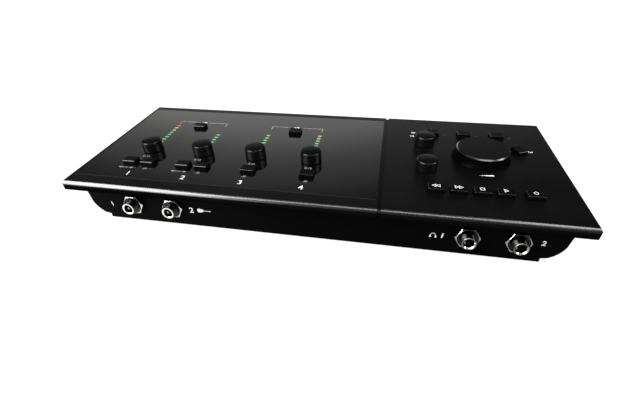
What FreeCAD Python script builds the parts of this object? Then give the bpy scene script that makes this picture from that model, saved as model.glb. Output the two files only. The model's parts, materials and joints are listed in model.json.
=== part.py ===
# Desktop audio interface: a thin sloping top cover over a boat-shaped case, with round level knobs,
# small push buttons, light meters, two instrument inputs and two headphone outputs in the front face,
# and microphone, line, digital and power sockets in the rear face.
#
# Lengths are millimetres and angles degrees. The object stands on its feet at z = 0, its front faces -y,
# and x = y = 0 is the middle of its footprint.
# Things on the top are placed in panel coordinates (u, v, n): u runs from the left end, v back along the
# slope from the front edge of the flat top, and n stands square to the flat top, which is n = 0.
# Things on the front and rear faces are placed by u and by their height above the table.
import FreeCAD, Part
import math
import os
from FreeCAD import Vector

# Top cover
COVER_WIDTH = 350.0
COVER_FLAT = 133.4
COVER_THICK = 8.4
COVER_WALL = 2.8
NOSE_BULGE = 3.2
END_BULGE = 1.2
CORNER_RADIUS = 2.5
COVER_RIM = 9.0
SLOPE = 5.0

# Places along the width and the depth are those of a cover of 350 by 133.4, and spread with it
SPREAD = COVER_WIDTH / 350.0
DEEPEN = COVER_FLAT / 133.4
GROOVE_U = 225.7 * SPREAD
GROOVE_WIDTH = 2.4
GROOVE_DEPTH = 1.6

# Glossy plate let into the cover on the left
PLATE_THICK = 1.5
PLATE_LEFT = 3.2
PLATE_FRONT = 8.5
PLATE_BACK = 5.9
PLATE_TO_GROOVE = 1.0
PLATE_GAP = 0.15
PLATE_EDGE = 0.25

# Case and its two end panels
FEET_HEIGHT = 2.0
FOOT_RADIUS = 6.0
FOOT_INSET_U = 60.0 * SPREAD
FOOT_BACK = 14.0
FRONT_DROP = 37.0
FACE_SETBACK = 11.0
REAR_SETBACK = 9.4
CASE_LENGTH = COVER_FLAT - FACE_SETBACK - REAR_SETBACK
CASE_WALL = 2.4
SIDE_INSET = 4.2
KNEE_INSET = 7.2
KNEE_HEIGHT = 12.5
BILGE_INSET = 16.0
BILGE_HEIGHT = 2.7
KEEL_INSET = 45.0
KNEE_BULGE = 1.3
KEEL_BULGE = 0.5
PANEL_THICK = 2.5
LIP_DROP = 0.8
LIP_INSET = 20.0

# Channel strips on the glossy plate
CHANNELS = 4
CHANNEL_PITCH = 43.2 * SPREAD
CHANNEL_1_U = 43.0 * SPREAD
GAIN_V = 51.3 * DEEPEN
GAIN_RADIUS = 7.75
GAIN_HEIGHT = 9.2
PAIR_SHIFT = 0.9
PAIR_SPACING = 14.6
INPUT_BUTTON_V = 30.2 * DEEPEN
PHANTOM_V = 94.4 * DEEPEN
METER_SHIFT = -0.8
METER_TOP_V = 95.4 * DEEPEN
METER_PITCH = 4.37 * DEEPEN
METER_REDS = 1
METER_YELLOWS = 2
METER_GREENS = 6
METER_WIDTH = 3.0
METER_DEPTH = 2.0
PHANTOM_LIGHT_V = 84.5 * DEEPEN

# Monitor section on the right
PHONES_U = 255.7 * SPREAD
PHONES_V = (51.3 * DEEPEN, 88.4 * DEEPEN)
PHONES_RADIUS = 7.5
PHONES_HEIGHT = 8.6
VOLUME_U = 295.4 * SPREAD
VOLUME_V = 72.4 * DEEPEN
VOLUME_RADIUS = 18.3
VOLUME_FLARE = 2.0
VOLUME_HEIGHT = 8.2
VOLUME_BEVEL = 1.15
VOLUME_BEVEL_DROP = 1.0
MONITOR_U = 262.7 * SPREAD
MONITOR_PITCH = 24.6 * SPREAD
MONITOR_V = 106.5 * DEEPEN
MONITOR_LIGHT_SHIFT = 9.8
MULTI_RADIUS = 31.0
MULTI_ANGLE = 22.0
TRANSPORT_U = 260.7 * SPREAD
TRANSPORT_PITCH = 14.28 * SPREAD
TRANSPORT_V = 25.3 * DEEPEN
RECORD_U = 320.8 * SPREAD
POWER_LIGHT_U = 247.7 * SPREAD
POWER_LIGHT_V = 107.3 * DEEPEN
POWER_LIGHT_WIDTH = 3.3
POWER_LIGHT_DEPTH = 2.4
DOT_LIGHT_RADIUS = 0.9

# Push buttons and their switches
BUTTON_WIDTH = 10.2
BUTTON_DEPTH = 7.0
BUTTON_HEIGHT = 3.0
BUTTON_ROUND = 0.5
BUTTON_GAP = 0.45
BUTTON_FLANGE = 1.0
FLANGE_THICK = 1.1
STEM_RADIUS = 2.0
TRAVEL = 0.7
STOP_GAP = 0.2
SWITCH_SIZE = 6.2
SWITCH_HEIGHT = 3.5
PLUNGER_RADIUS = 1.7
PLUNGER_HEIGHT = 0.5

# Rotary controls under the cover
KNOB_LIFT = 0.6
KNOB_TAPER = 0.2
KNOB_DOME = 0.8
KNOB_EDGE = 0.9
KNOB_ROOF = 2.2
SHAFT_RADIUS = 3.0
SHAFT_RUN = 0.05
SHAFT_HOLE_GAP = 0.7
POT_SIZE = 11.0
POT_BUSH_RADIUS = 4.2
POT_FLOOR = 0.8
UNDER_WALL_GAP = 0.3
LIGHT_GAP = 0.05
LIGHT_TAIL = 0.8

# Circuit boards and what holds them
BOARD_THICK = 1.6
CONTROL_DEPTH = 11.0
CONTROL_MARGIN = 12.0
CONTROL_V = (18.0 * DEEPEN, 114.0 * DEEPEN)
STANDOFF_HEIGHT = 3.6
STANDOFF_RADIUS = 3.0
MAIN_INSET = 20.0
BOARD_END_GAP = 0.6
BOSS_RADIUS = 3.6
BOSS_GAP = 0.8
SCREW_RADIUS = 1.5
SCREW_FIT = 0.02
SCREW_HEAD_RADIUS = 2.8
SCREW_HEAD_HEIGHT = 1.3
SCREW_LENGTH = 8.0
SCREW_CLEARANCE = 0.25
SLOT_LENGTH = 2.6
SLOT_WIDTH = 0.6
SLOT_DEPTH = 0.5
HEAD_GAP = 0.3

# Plug sockets of 6.35 mm, front and rear
JACK_Z = 15.3
JACK_BORE = 3.25
JACK_BUSH_RADIUS = 4.76
JACK_PROUD = 8.0
JACK_LIP = 0.5
JACK_BODY_WIDTH = 14.4
JACK_BODY_LENGTH = 23.0
JACK_BODY_RISE = 6.0
JACK_END_WALL = 1.5
NUT_ACROSS = 14.0
NUT_THICK = 2.0
NUT_BEVEL = 30.0
NUT_TURN = 2.6
NUT_FIT = 0.04
WASHER_RADIUS = 6.9
WASHER_THICK = 0.5
PANEL_HOLE_GAP = 0.12
INSTRUMENT_U = (43.5 * SPREAD, 75.6 * SPREAD)
HEADPHONE_U = (283.4 * SPREAD, 314.2 * SPREAD)
LINE_U = 158.0 * SPREAD
LINE_PITCH = 16.5 * SPREAD
LINE_COUNT = 6

# Combined microphone and line sockets
COMBO_U = 42.0 * SPREAD
COMBO_PITCH = 29.5 * SPREAD
COMBO_COUNT = 4
COMBO_Z = 21.2
COMBO_FLANGE = 25.6
COMBO_FLANGE_THICK = 1.6
COMBO_CORNER = 2.0
COMBO_SUNK = 0.8
COMBO_RADIUS = 11.0
COMBO_MOUTH = 9.6
COMBO_CORE = 7.6
COMBO_LENGTH = 24.0
COMBO_MOUTH_DEPTH = 15.0
COMBO_PIN_RADIUS = 1.3
COMBO_PIN_RING = 5.4
COMBO_FOOT = 18.0

# Other rear sockets
COAX_U = 258.0 * SPREAD
COAX_SPACING = 13.2
COAX_RADIUS = 4.15
COAX_HOLE = 1.65
COAX_PROUD = 8.3
COAX_BLOCK = 10.4
COAX_BODY_LENGTH = 12.0
MIDI_U = (277.0 * SPREAD, 297.0 * SPREAD)
MIDI_HOUSING = 17.8
MIDI_LENGTH = 12.0
MIDI_SLEEVE = 8.2
MIDI_MOUTH = 7.0
MIDI_CORE = 5.6
MIDI_MOUTH_DEPTH = 9.0
MIDI_PIN_RADIUS = 0.8
MIDI_PIN_RING = 3.4
SLEEVE_PROUD = 0.6
USB_U = 315.5 * SPREAD
USB_WIDTH = 12.0
USB_HEIGHT = 10.8
USB_LENGTH = 16.0
USB_MOUTH_WIDTH = 8.6
USB_MOUTH_HEIGHT = 7.9
USB_TONGUE_WIDTH = 5.6
USB_TONGUE_HEIGHT = 3.1
USB_MOUTH_DEPTH = 12.0
USB_TONGUE_SUNK = 1.5
POWER_U = 330.0 * SPREAD
POWER_WIDTH = 9.0
POWER_HEIGHT = 10.6
POWER_LENGTH = 13.0
POWER_MOUTH = 3.1
POWER_PIN = 1.0
POWER_MOUTH_DEPTH = 10.0
POWER_PIN_SUNK = 1.0
SOCKET_GAP = 0.15

# Chips on the main board: u, distance behind the front face, width, depth, height. Then the pin strip that
# links the boards, and the capacitors
CHIPS = ((92.0, 62.0, 14.0, 14.0, 1.6), (128.0, 48.0, 9.0, 9.0, 1.4), (160.0, 62.0, 20.0, 20.0, 1.8),
         (218.0, 58.0, 10.0, 12.0, 1.6), (258.0, 62.0, 12.0, 9.0, 1.6), (296.0, 50.0, 8.0, 10.0, 1.5))
LINK_U = 240.0 * SPREAD
LINK_BACK = 26.0 * DEEPEN
LINK_WIDTH = 26.0
LINK_DEPTH = 5.0
CAPACITOR_RADIUS = 3.1
CAPACITOR_HEIGHT = 9.0
CAPACITOR_ROUND = 0.5
CAPACITOR_U = 110.0 * SPREAD
CAPACITOR_PITCH = 16.0 * SPREAD
CAPACITOR_COUNT = 8
CAPACITOR_BACK = 30.0 * DEEPEN

# Screw places: case screws and main board screws by u and distance behind the front face,
# control board screws by u and v
CASE_SCREWS = tuple((u * SPREAD, back * DEEPEN) for u in (64.6, 194.2, 275.0) for back in (37.0, 66.0))
MAIN_SCREWS = tuple((u * SPREAD, back * DEEPEN) for u, back in (
    (56.0, 50.0), (107.0, 18.0), (107.0, 70.0), (182.0, 18.0), (182.0, 74.0), (236.0, 72.0), (300.0, 72.0)))
CONTROL_SCREWS = tuple((u * SPREAD, v * DEEPEN) for u, v in (
    (21.0, 60.0), (107.5, 60.0), (194.0, 62.0), (21.0, 108.0), (107.5, 108.0), (194.0, 108.0),
    (240.0, 62.0), (240.0, 92.0), (333.0, 60.0), (333.0, 104.0), (240.0, 30.0), (195.0, 28.0)))

# Places worked out from the sizes above
HALF = COVER_WIDTH / 2
SIN = math.sin(math.radians(SLOPE))
COS = math.cos(math.radians(SLOPE))
PANEL_Y = -(COVER_FLAT / 2 * COS + COVER_THICK / 2 * SIN)
FACE_Y = PANEL_Y + FACE_SETBACK * COS
REAR_Y = FACE_Y + CASE_LENGTH
PANEL_Z = FEET_HEIGHT + FRONT_DROP - FACE_SETBACK * SIN
TO_ROW = FreeCAD.Placement(Vector(-HALF, PANEL_Y, PANEL_Z), FreeCAD.Rotation(Vector(1, 0, 0), SLOPE))
FLOOR_Z = FEET_HEIGHT + CASE_WALL
MAIN_BOTTOM = FLOOR_Z + STANDOFF_HEIGHT
MAIN_TOP = MAIN_BOTTOM + BOARD_THICK
CHANNEL_U = [CHANNEL_1_U + CHANNEL_PITCH * i for i in range(CHANNELS)]
WALL_BOTTOM = -COVER_WALL
BOARD_N = -CONTROL_DEPTH
PLUNGER_TOP = BOARD_N + SWITCH_HEIGHT + PLUNGER_HEIGHT
STEM_BOTTOM = PLUNGER_TOP + TRAVEL + STOP_GAP
FLANGE_TOP = WALL_BOTTOM - UNDER_WALL_GAP
SHAFT_BOTTOM = BOARD_N + POT_FLOOR + STOP_GAP
JACK_BEHIND = PANEL_THICK + JACK_BODY_LENGTH
BEYOND = 80.0
FRONTWARD = FreeCAD.Rotation(Vector(1, 0, 0), 90)
REARWARD = FreeCAD.Rotation(Vector(0, 0, 1), 180).multiply(FRONTWARD)


def block(u, v, low, width, depth, high, turn=0.0):
    """A box centred on (u, v), from height low to height high, turned about its own upright axis."""
    box = Part.makeBox(width, depth, high - low, Vector(-width / 2, -depth / 2, low))
    box.Placement = FreeCAD.Placement(Vector(u, v, 0), FreeCAD.Rotation(Vector(0, 0, 1), turn))
    return box


def post(u, v, low, radius, high):
    """An upright cylinder."""
    return Part.makeCylinder(radius, high - low, Vector(u, v, low))


def to_row(shape):
    """Moves a shape from panel coordinates to the object's own frame."""
    moved = shape.copy()
    moved.Placement = TO_ROW.multiply(shape.Placement)
    return moved


def on_face(shape, u, z, rear=False):
    """Moves a shape drawn with +z pointing out of a face to its place on the front or rear face."""
    moved = shape.copy()
    y = REAR_Y if rear else FACE_Y
    turn = REARWARD if rear else FRONTWARD
    moved.Placement = FreeCAD.Placement(Vector(u - HALF, y, z), turn).multiply(shape.Placement)
    return moved


def rounded(shape, radius, keep):
    """Fillets the edges for which keep(edge) is true."""
    edges = [edge for edge in shape.Edges if keep(edge)]
    return shape.makeFillet(radius, edges)


def arc(start, end, bulge):
    """An arc in the xz plane from start to end that stands out by bulge to the right of its chord."""
    chord = end.sub(start)
    side = Vector(-chord.z, 0, chord.x).normalize().multiply(bulge)
    middle = start.add(end).multiply(0.5).add(side)
    return Part.Arc(start, middle, end).toShape()


def save(name, *solids):
    """Writes one node: a single solid, or a group of separate ones."""
    shape = solids[0] if len(solids) == 1 else Part.Compound(list(solids))
    shape.exportStep("parts/" + name + ".step")
    print(name, len(shape.Solids), "solid(s)", round(shape.Volume / 1000, 2), "cm3")


def above(n):
    """Everything above the plane at height n over the flat top, as a large block."""
    return to_row(Part.makeBox(COVER_WIDTH + 2 * BEYOND, COVER_FLAT + 2 * BEYOND, BEYOND,
                               Vector(-BEYOND, -BEYOND, n)))


def button_places():
    """Name, u, v and turn of every push button."""
    places = []
    for i, u in enumerate(CHANNEL_U):
        middle = u + PAIR_SHIFT
        half = PAIR_SPACING / 2
        if i < 2:
            places.append(("source_button_%d" % (i + 1), middle - half, INPUT_BUTTON_V, 0.0))
            places.append(("pad_button_%d" % (i + 1), middle + half, INPUT_BUTTON_V, 0.0))
        else:
            places.append(("pad_button_%d" % (i + 1), middle, INPUT_BUTTON_V, 0.0))
    for name, first in (("phantom_button_1_2", 0), ("phantom_button_3_4", 2)):
        middle = (CHANNEL_U[first] + CHANNEL_U[first + 1]) / 2
        places.append((name, middle + METER_SHIFT, PHANTOM_V, 0.0))
    for i, letter in enumerate("abc"):
        places.append(("monitor_button_" + letter, MONITOR_U + MONITOR_PITCH * i, MONITOR_V, 0.0))
    angle = math.radians(MULTI_ANGLE)
    multi_u = VOLUME_U + MULTI_RADIUS * math.cos(angle)
    multi_v = VOLUME_V + MULTI_RADIUS * math.sin(angle)
    places.append(("multi_button", multi_u, multi_v, MULTI_ANGLE + 90.0))
    for i, name in enumerate(("rewind_button", "forward_button", "stop_button", "play_button")):
        places.append((name, TRANSPORT_U + TRANSPORT_PITCH * i, TRANSPORT_V, 0.0))
    places.append(("record_button", RECORD_U, TRANSPORT_V, 0.0))
    return places


def knob_places():
    """Knob name, shaft name, u, v, radius and height of every knob."""
    places = []
    for i, u in enumerate(CHANNEL_U):
        places.append(("gain_knob_%d" % (i + 1), "gain_shaft_%d" % (i + 1), u, GAIN_V,
                       GAIN_RADIUS, GAIN_HEIGHT))
    for i, v in enumerate(PHONES_V):
        places.append(("headphone_knob_%d" % (i + 1), "headphone_shaft_%d" % (i + 1), PHONES_U, v,
                       PHONES_RADIUS, PHONES_HEIGHT))
    places.append(("volume_knob", "volume_shaft", VOLUME_U, VOLUME_V, VOLUME_RADIUS, VOLUME_HEIGHT))
    return places


def meter_places(first, count):
    """Places of the meter lights in rows first to first + count - 1, counted from the back."""
    return [(u + METER_SHIFT, METER_TOP_V - METER_PITCH * (first + row))
            for u in CHANNEL_U for row in range(count)]


def dot_places():
    """Places of the small round lights: one before each phantom button, one beside each monitor button."""
    spots = [((CHANNEL_U[first] + CHANNEL_U[first + 1]) / 2 + METER_SHIFT, PHANTOM_LIGHT_V)
             for first in (0, 2)]
    spots += [(MONITOR_U + MONITOR_PITCH * i + MONITOR_LIGHT_SHIFT, MONITOR_V) for i in range(3)]
    return spots


ALL_METERS = meter_places(0, METER_REDS + METER_YELLOWS + METER_GREENS)


def light_bars(places, width, depth, gap=0.0):
    """Light windows, flush with the top and reaching below the cover's wall; gap makes their holes."""
    low = WALL_BOTTOM - LIGHT_TAIL - gap
    high = 2 * gap
    return [block(u, v, low, width + 2 * gap, depth + 2 * gap, high) for u, v in places]


def light_dots(gap=0.0):
    """Round light windows, or their holes."""
    low = WALL_BOTTOM - LIGHT_TAIL - gap
    return [post(u, v, low, DOT_LIGHT_RADIUS + gap, 2 * gap) for u, v in dot_places()]


def top_openings():
    """Every hole through the cover and the glossy plate, for shafts, buttons and lights."""
    low = -COVER_THICK
    tools = [post(u, v, low, SHAFT_RADIUS + SHAFT_HOLE_GAP, 1.0) for _, _, u, v, _, _ in knob_places()]
    tools += [block(u, v, low, BUTTON_WIDTH + 2 * BUTTON_GAP, BUTTON_DEPTH + 2 * BUTTON_GAP, 1.0, turn)
              for _, u, v, turn in button_places()]
    tools += light_bars(ALL_METERS, METER_WIDTH, METER_DEPTH, LIGHT_GAP)
    tools += light_bars([(POWER_LIGHT_U, POWER_LIGHT_V)], POWER_LIGHT_WIDTH, POWER_LIGHT_DEPTH, LIGHT_GAP)
    return tools + light_dots(LIGHT_GAP)


def plate_outline(grow, low, high):
    """The glossy plate's rectangle, grown on all sides, between two heights."""
    left = PLATE_LEFT - grow
    front = PLATE_FRONT - grow
    right = GROOVE_U - GROOVE_WIDTH / 2 - PLATE_TO_GROOVE + grow
    back = COVER_FLAT - PLATE_BACK + grow
    return Part.makeBox(right - left, back - front, high - low, Vector(left, front, low))


def cover_blank():
    """The cover as a solid slab with rounded front, back and end edges."""
    low = -COVER_THICK
    middle = -COVER_THICK / 2
    nose = Part.Arc(Vector(0, 0, 0), Vector(0, -NOSE_BULGE, middle), Vector(0, 0, low)).toShape()
    under = Part.makeLine(Vector(0, 0, low), Vector(0, COVER_FLAT, low))
    tail = Part.Arc(Vector(0, COVER_FLAT, low), Vector(0, COVER_FLAT + NOSE_BULGE, middle),
                    Vector(0, COVER_FLAT, 0)).toShape()
    top = Part.makeLine(Vector(0, COVER_FLAT, 0), Vector(0, 0, 0))
    slab = Part.Face(Part.Wire([nose, under, tail, top])).extrude(Vector(COVER_WIDTH, 0, 0))
    front = -NOSE_BULGE
    left = Part.Arc(Vector(END_BULGE, front, low), Vector(0, front, middle),
                    Vector(END_BULGE, front, 0)).toShape()
    over = Part.makeLine(Vector(END_BULGE, front, 0), Vector(COVER_WIDTH - END_BULGE, front, 0))
    right = Part.Arc(Vector(COVER_WIDTH - END_BULGE, front, 0), Vector(COVER_WIDTH, front, middle),
                     Vector(COVER_WIDTH - END_BULGE, front, low)).toShape()
    base = Part.makeLine(Vector(COVER_WIDTH - END_BULGE, front, low), Vector(END_BULGE, front, low))
    ends = Part.Face(Part.Wire([left, over, right, base])).extrude(Vector(0, COVER_FLAT - 2 * front, 0))
    plan = Part.makeBox(COVER_WIDTH, COVER_FLAT - 2 * front, 3 * COVER_THICK,
                        Vector(0, front, -2 * COVER_THICK))
    plan = rounded(plan, CORNER_RADIUS, lambda e: abs(e.Vertexes[0].Z - e.Vertexes[1].Z) > COVER_THICK)
    return slab.common(ends).common(plan)


def case_boss(u, back, low):
    """An upright boss between height low and the underside of the cover's wall."""
    x = u - HALF
    y = FACE_Y + back
    tall = post(x, y, low, BOSS_RADIUS, PANEL_Z + BEYOND / 2)
    return tall.cut(above(WALL_BOTTOM))


def make_cover():
    """The cover: slab, groove, recess for the plate, cavity, bosses and holes."""
    blank = cover_blank()
    groove = [block(GROOVE_U, COVER_FLAT / 2, -GROOVE_DEPTH, GROOVE_WIDTH,
                    COVER_FLAT + 4 * NOSE_BULGE, GROOVE_DEPTH)]
    for v in (-NOSE_BULGE, COVER_FLAT + NOSE_BULGE):
        groove.append(block(GROOVE_U, v, -COVER_THICK, GROOVE_WIDTH, 2 * GROOVE_DEPTH, GROOVE_DEPTH))
    recess = plate_outline(PLATE_GAP, -PLATE_THICK, 1.0)
    face_v = FACE_SETBACK + COVER_THICK * SIN / COS
    front = face_v + PANEL_THICK + BOARD_END_GAP
    back = face_v + (CASE_LENGTH - PANEL_THICK) / COS - BOARD_END_GAP - COVER_THICK * SIN / COS
    cavity = Part.makeBox(COVER_WIDTH - 2 * COVER_RIM, back - front, COVER_THICK,
                          Vector(COVER_RIM, front, WALL_BOTTOM - COVER_THICK))
    cover = blank.cut(groove + [recess, cavity])
    posts = [post(u, v, BOARD_N, BOSS_RADIUS, WALL_BOTTOM) for u, v in CONTROL_SCREWS]
    cover = to_row(cover.fuse(posts))
    cover = cover.fuse([case_boss(u, back, FLOOR_Z) for u, back in CASE_SCREWS])
    holes = [to_row(tool) for tool in top_openings()]
    thread = SCREW_RADIUS + SCREW_FIT
    reach = SCREW_LENGTH + STOP_GAP
    holes += [to_row(post(u, v, BOARD_N - 1.0, thread, BOARD_N + control_reach())) for u, v in CONTROL_SCREWS]
    holes += [post(u - HALF, FACE_Y + back, FLOOR_Z - 1.0, thread, FEET_HEIGHT + reach)
              for u, back in CASE_SCREWS]
    return cover.cut(holes).removeSplitter()


def control_reach():
    """How far a control board screw's hole runs into its boss, stopping short of the cover's wall."""
    return min(SCREW_LENGTH - BOARD_THICK, CONTROL_DEPTH - COVER_WALL - STOP_GAP)


def make_plate():
    """The glossy plate with its fine bevelled edge and its holes."""
    plate = plate_outline(0.0, -PLATE_THICK, 0.0)
    top_edges = [edge for edge in plate.Edges if edge.BoundBox.ZMin > -PLATE_THICK / 2]
    plate = plate.makeChamfer(PLATE_EDGE, top_edges)
    return to_row(plate.cut(top_openings()))


def case_profile(front_y, length, inset=0.0):
    """The boat-shaped section, run back from front_y; inset shrinks it evenly for the inside."""
    bottom = FEET_HEIGHT
    rise = FRONT_DROP - COVER_THICK - KNEE_HEIGHT
    lean = (KNEE_INSET - SIDE_INSET) / rise
    top = PANEL_Z + COVER_FLAT * SIN + BEYOND / 4
    knee = Vector(HALF - KNEE_INSET, 0, bottom + KNEE_HEIGHT)
    shoulder = Vector(knee.x + lean * (top - knee.z), 0, top)
    bilge = Vector(HALF - BILGE_INSET, 0, bottom + BILGE_HEIGHT)
    keel = Vector(HALF - KEEL_INSET, 0, bottom)
    left = [Vector(-p.x, 0, p.z) for p in (keel, bilge, knee, shoulder)]
    edges = [Part.makeLine(left[0], keel), arc(keel, bilge, -KEEL_BULGE), arc(bilge, knee, -KNEE_BULGE),
             Part.makeLine(knee, shoulder), Part.makeLine(shoulder, left[3]),
             Part.makeLine(left[3], left[2]), arc(left[2], left[1], -KNEE_BULGE),
             arc(left[1], left[0], -KEEL_BULGE)]
    outline = Part.Wire(edges)
    if inset:
        outline = outline.makeOffset2D(-inset)
    solid = Part.Face(outline).extrude(Vector(0, length, 0))
    solid.translate(Vector(0, front_y, 0))
    return solid


def end_panel(y):
    """A front or rear panel, open to be drilled: the case's section with a straight lower lip."""
    plate = case_profile(y, PANEL_THICK)
    lip_width = COVER_WIDTH - 2 * LIP_INSET
    lip = Part.makeBox(lip_width, PANEL_THICK, LIP_DROP + BILGE_HEIGHT,
                       Vector(-lip_width / 2, y, FEET_HEIGHT - LIP_DROP))
    return plate.fuse(lip).cut(above(-COVER_THICK)).removeSplitter()


def make_case():
    """The wrap-round case, open at the top and at both ends, with recessed screw holes."""
    y = FACE_Y + PANEL_THICK
    length = CASE_LENGTH - 2 * PANEL_THICK
    case = case_profile(y, length).cut(case_profile(y - 1.0, length + 2.0, CASE_WALL))
    case = case.cut(above(-COVER_THICK))
    tools = []
    for u, back in CASE_SCREWS:
        x = u - HALF
        tools.append(post(x, FACE_Y + back, 0.0, SCREW_RADIUS + SCREW_CLEARANCE, FLOOR_Z + 1.0))
        tools.append(post(x, FACE_Y + back, 0.0, SCREW_HEAD_RADIUS + HEAD_GAP,
                          FEET_HEIGHT + SCREW_HEAD_HEIGHT))
    return case.cut(tools)


def screw(x, y, seat, up=1.0):
    """A pan-head screw whose head bears on height seat; up is 1 when its shank points up."""
    head = Part.makeCylinder(SCREW_HEAD_RADIUS, SCREW_HEAD_HEIGHT, Vector(x, y, seat), Vector(0, 0, -up))
    head = rounded(head, SCREW_HEAD_HEIGHT / 2.2,
                   lambda e: abs(e.CenterOfMass.z - (seat - up * SCREW_HEAD_HEIGHT)) < 1e-6)
    shank = Part.makeCylinder(SCREW_RADIUS, SCREW_LENGTH - SCREW_HEAD_HEIGHT, Vector(x, y, seat),
                              Vector(0, 0, up))
    slot_z = seat - up * SCREW_HEAD_HEIGHT
    slots = [block(x, y, slot_z - SLOT_DEPTH, SLOT_LENGTH, SLOT_WIDTH, slot_z + SLOT_DEPTH, turn)
             for turn in (0, 90)]
    return head.fuse(shank).cut(slots)


def make_feet():
    """Four round pads under the flat of the case."""
    feet = []
    for u in (FOOT_INSET_U, COVER_WIDTH - FOOT_INSET_U):
        for back in (FOOT_BACK, CASE_LENGTH - FOOT_BACK):
            foot = post(u - HALF, FACE_Y + back, 0.0, FOOT_RADIUS, FEET_HEIGHT)
            feet.append(rounded(foot, FEET_HEIGHT / 4, lambda e: e.CenterOfMass.z < FEET_HEIGHT / 4))
    return feet


def make_control_board():
    """The board under the cover that carries switches, level controls and lights."""
    low = BOARD_N - BOARD_THICK
    front, back = CONTROL_V
    board = Part.makeBox(COVER_WIDTH - 2 * CONTROL_MARGIN, back - front, BOARD_THICK,
                         Vector(CONTROL_MARGIN, front, low))
    holes = [post(u, v, low - 1.0, SCREW_RADIUS + SCREW_FIT, BOARD_N + 1.0) for u, v in CONTROL_SCREWS]
    board = to_row(board.cut(holes))
    return board.cut([post(u - HALF, FACE_Y + back, 0.0, BOSS_RADIUS + BOSS_GAP, PANEL_Z + BEYOND)
                      for u, back in CASE_SCREWS])


def make_main_board():
    """The board on the case floor that carries the sockets."""
    y = FACE_Y + PANEL_THICK + BOARD_END_GAP
    length = CASE_LENGTH - 2 * (PANEL_THICK + BOARD_END_GAP)
    board = Part.makeBox(COVER_WIDTH - 2 * MAIN_INSET, length, BOARD_THICK,
                         Vector(-HALF + MAIN_INSET, y, MAIN_BOTTOM))
    holes = [post(u - HALF, FACE_Y + back, 0.0, BOSS_RADIUS + BOSS_GAP, MAIN_TOP + 1.0)
             for u, back in CASE_SCREWS]
    holes += [post(u - HALF, FACE_Y + back, 0.0, SCREW_RADIUS + SCREW_FIT, MAIN_TOP + 1.0)
              for u, back in MAIN_SCREWS]
    return board.cut(holes)


def make_standoffs():
    """Threaded posts between the case floor and the main board."""
    posts = []
    for u, back in MAIN_SCREWS:
        x = u - HALF
        y = FACE_Y + back
        thread = post(x, y, FLOOR_Z - 1.0, SCREW_RADIUS + SCREW_FIT, MAIN_BOTTOM + 1.0)
        posts.append(post(x, y, FLOOR_Z, STANDOFF_RADIUS, MAIN_BOTTOM).cut(thread))
    return posts


def make_board_screws():
    """Short screws that hold both boards: into the standoffs, and up into the cover's bosses."""
    screws = []
    for u, back in MAIN_SCREWS:
        head = post(u - HALF, FACE_Y + back, MAIN_TOP, SCREW_HEAD_RADIUS, MAIN_TOP + SCREW_HEAD_HEIGHT)
        shank = post(u - HALF, FACE_Y + back, FLOOR_Z + STOP_GAP, SCREW_RADIUS, MAIN_TOP)
        screws.append(head.fuse(shank).removeSplitter())
    low = BOARD_N - BOARD_THICK
    for u, v in CONTROL_SCREWS:
        head = post(u, v, low - SCREW_HEAD_HEIGHT, SCREW_HEAD_RADIUS, low)
        shank = post(u, v, low, SCREW_RADIUS, BOARD_N + control_reach() - STOP_GAP)
        screws.append(to_row(head.fuse(shank).removeSplitter()))
    return screws


def make_button(u, v, turn):
    """A push button: rounded cap, retaining flange under the cover's wall, and stem."""
    cap = block(0, 0, FLANGE_TOP, BUTTON_WIDTH, BUTTON_DEPTH, BUTTON_HEIGHT)
    cap = rounded(cap, BUTTON_ROUND, lambda e: e.BoundBox.ZMax > BUTTON_HEIGHT - 1e-6)
    flange = block(0, 0, FLANGE_TOP - FLANGE_THICK, BUTTON_WIDTH + 2 * BUTTON_FLANGE,
                   BUTTON_DEPTH + 2 * BUTTON_FLANGE, FLANGE_TOP)
    stem = post(0, 0, STEM_BOTTOM, STEM_RADIUS, FLANGE_TOP - FLANGE_THICK)
    button = cap.fuse([flange, stem]).removeSplitter()
    button.Placement = FreeCAD.Placement(Vector(u, v, 0), FreeCAD.Rotation(Vector(0, 0, 1), turn))
    return to_row(button)


def make_switch(u, v, turn):
    """The small switch under a button."""
    body = block(0, 0, BOARD_N, SWITCH_SIZE, SWITCH_SIZE, BOARD_N + SWITCH_HEIGHT)
    plunger = post(0, 0, BOARD_N + SWITCH_HEIGHT, PLUNGER_RADIUS, PLUNGER_TOP)
    switch = body.fuse(plunger).removeSplitter()
    switch.Placement = FreeCAD.Placement(Vector(u, v, 0), FreeCAD.Rotation(Vector(0, 0, 1), turn))
    return to_row(switch)


def make_small_knob(u, v, radius, height):
    """A plain round knob: slightly tapered side, soft rim, domed top and a bore for its shaft."""
    top = radius - KNOB_TAPER
    side = Part.makeCone(radius, top, height - KNOB_LIFT, Vector(0, 0, KNOB_LIFT))
    dome = (radius ** 2 + KNOB_DOME ** 2) / (2 * KNOB_DOME)
    knob = side.common(Part.makeSphere(dome, Vector(0, 0, height - dome)))
    knob = rounded(knob, KNOB_EDGE, lambda e: e.BoundBox.ZMin > height / 2 and e.BoundBox.XLength > radius)
    knob = knob.cut(post(0, 0, 0, SHAFT_RADIUS + SCREW_FIT, height - KNOB_ROOF))
    knob.translate(Vector(u, v, 0))
    return to_row(knob)


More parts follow.
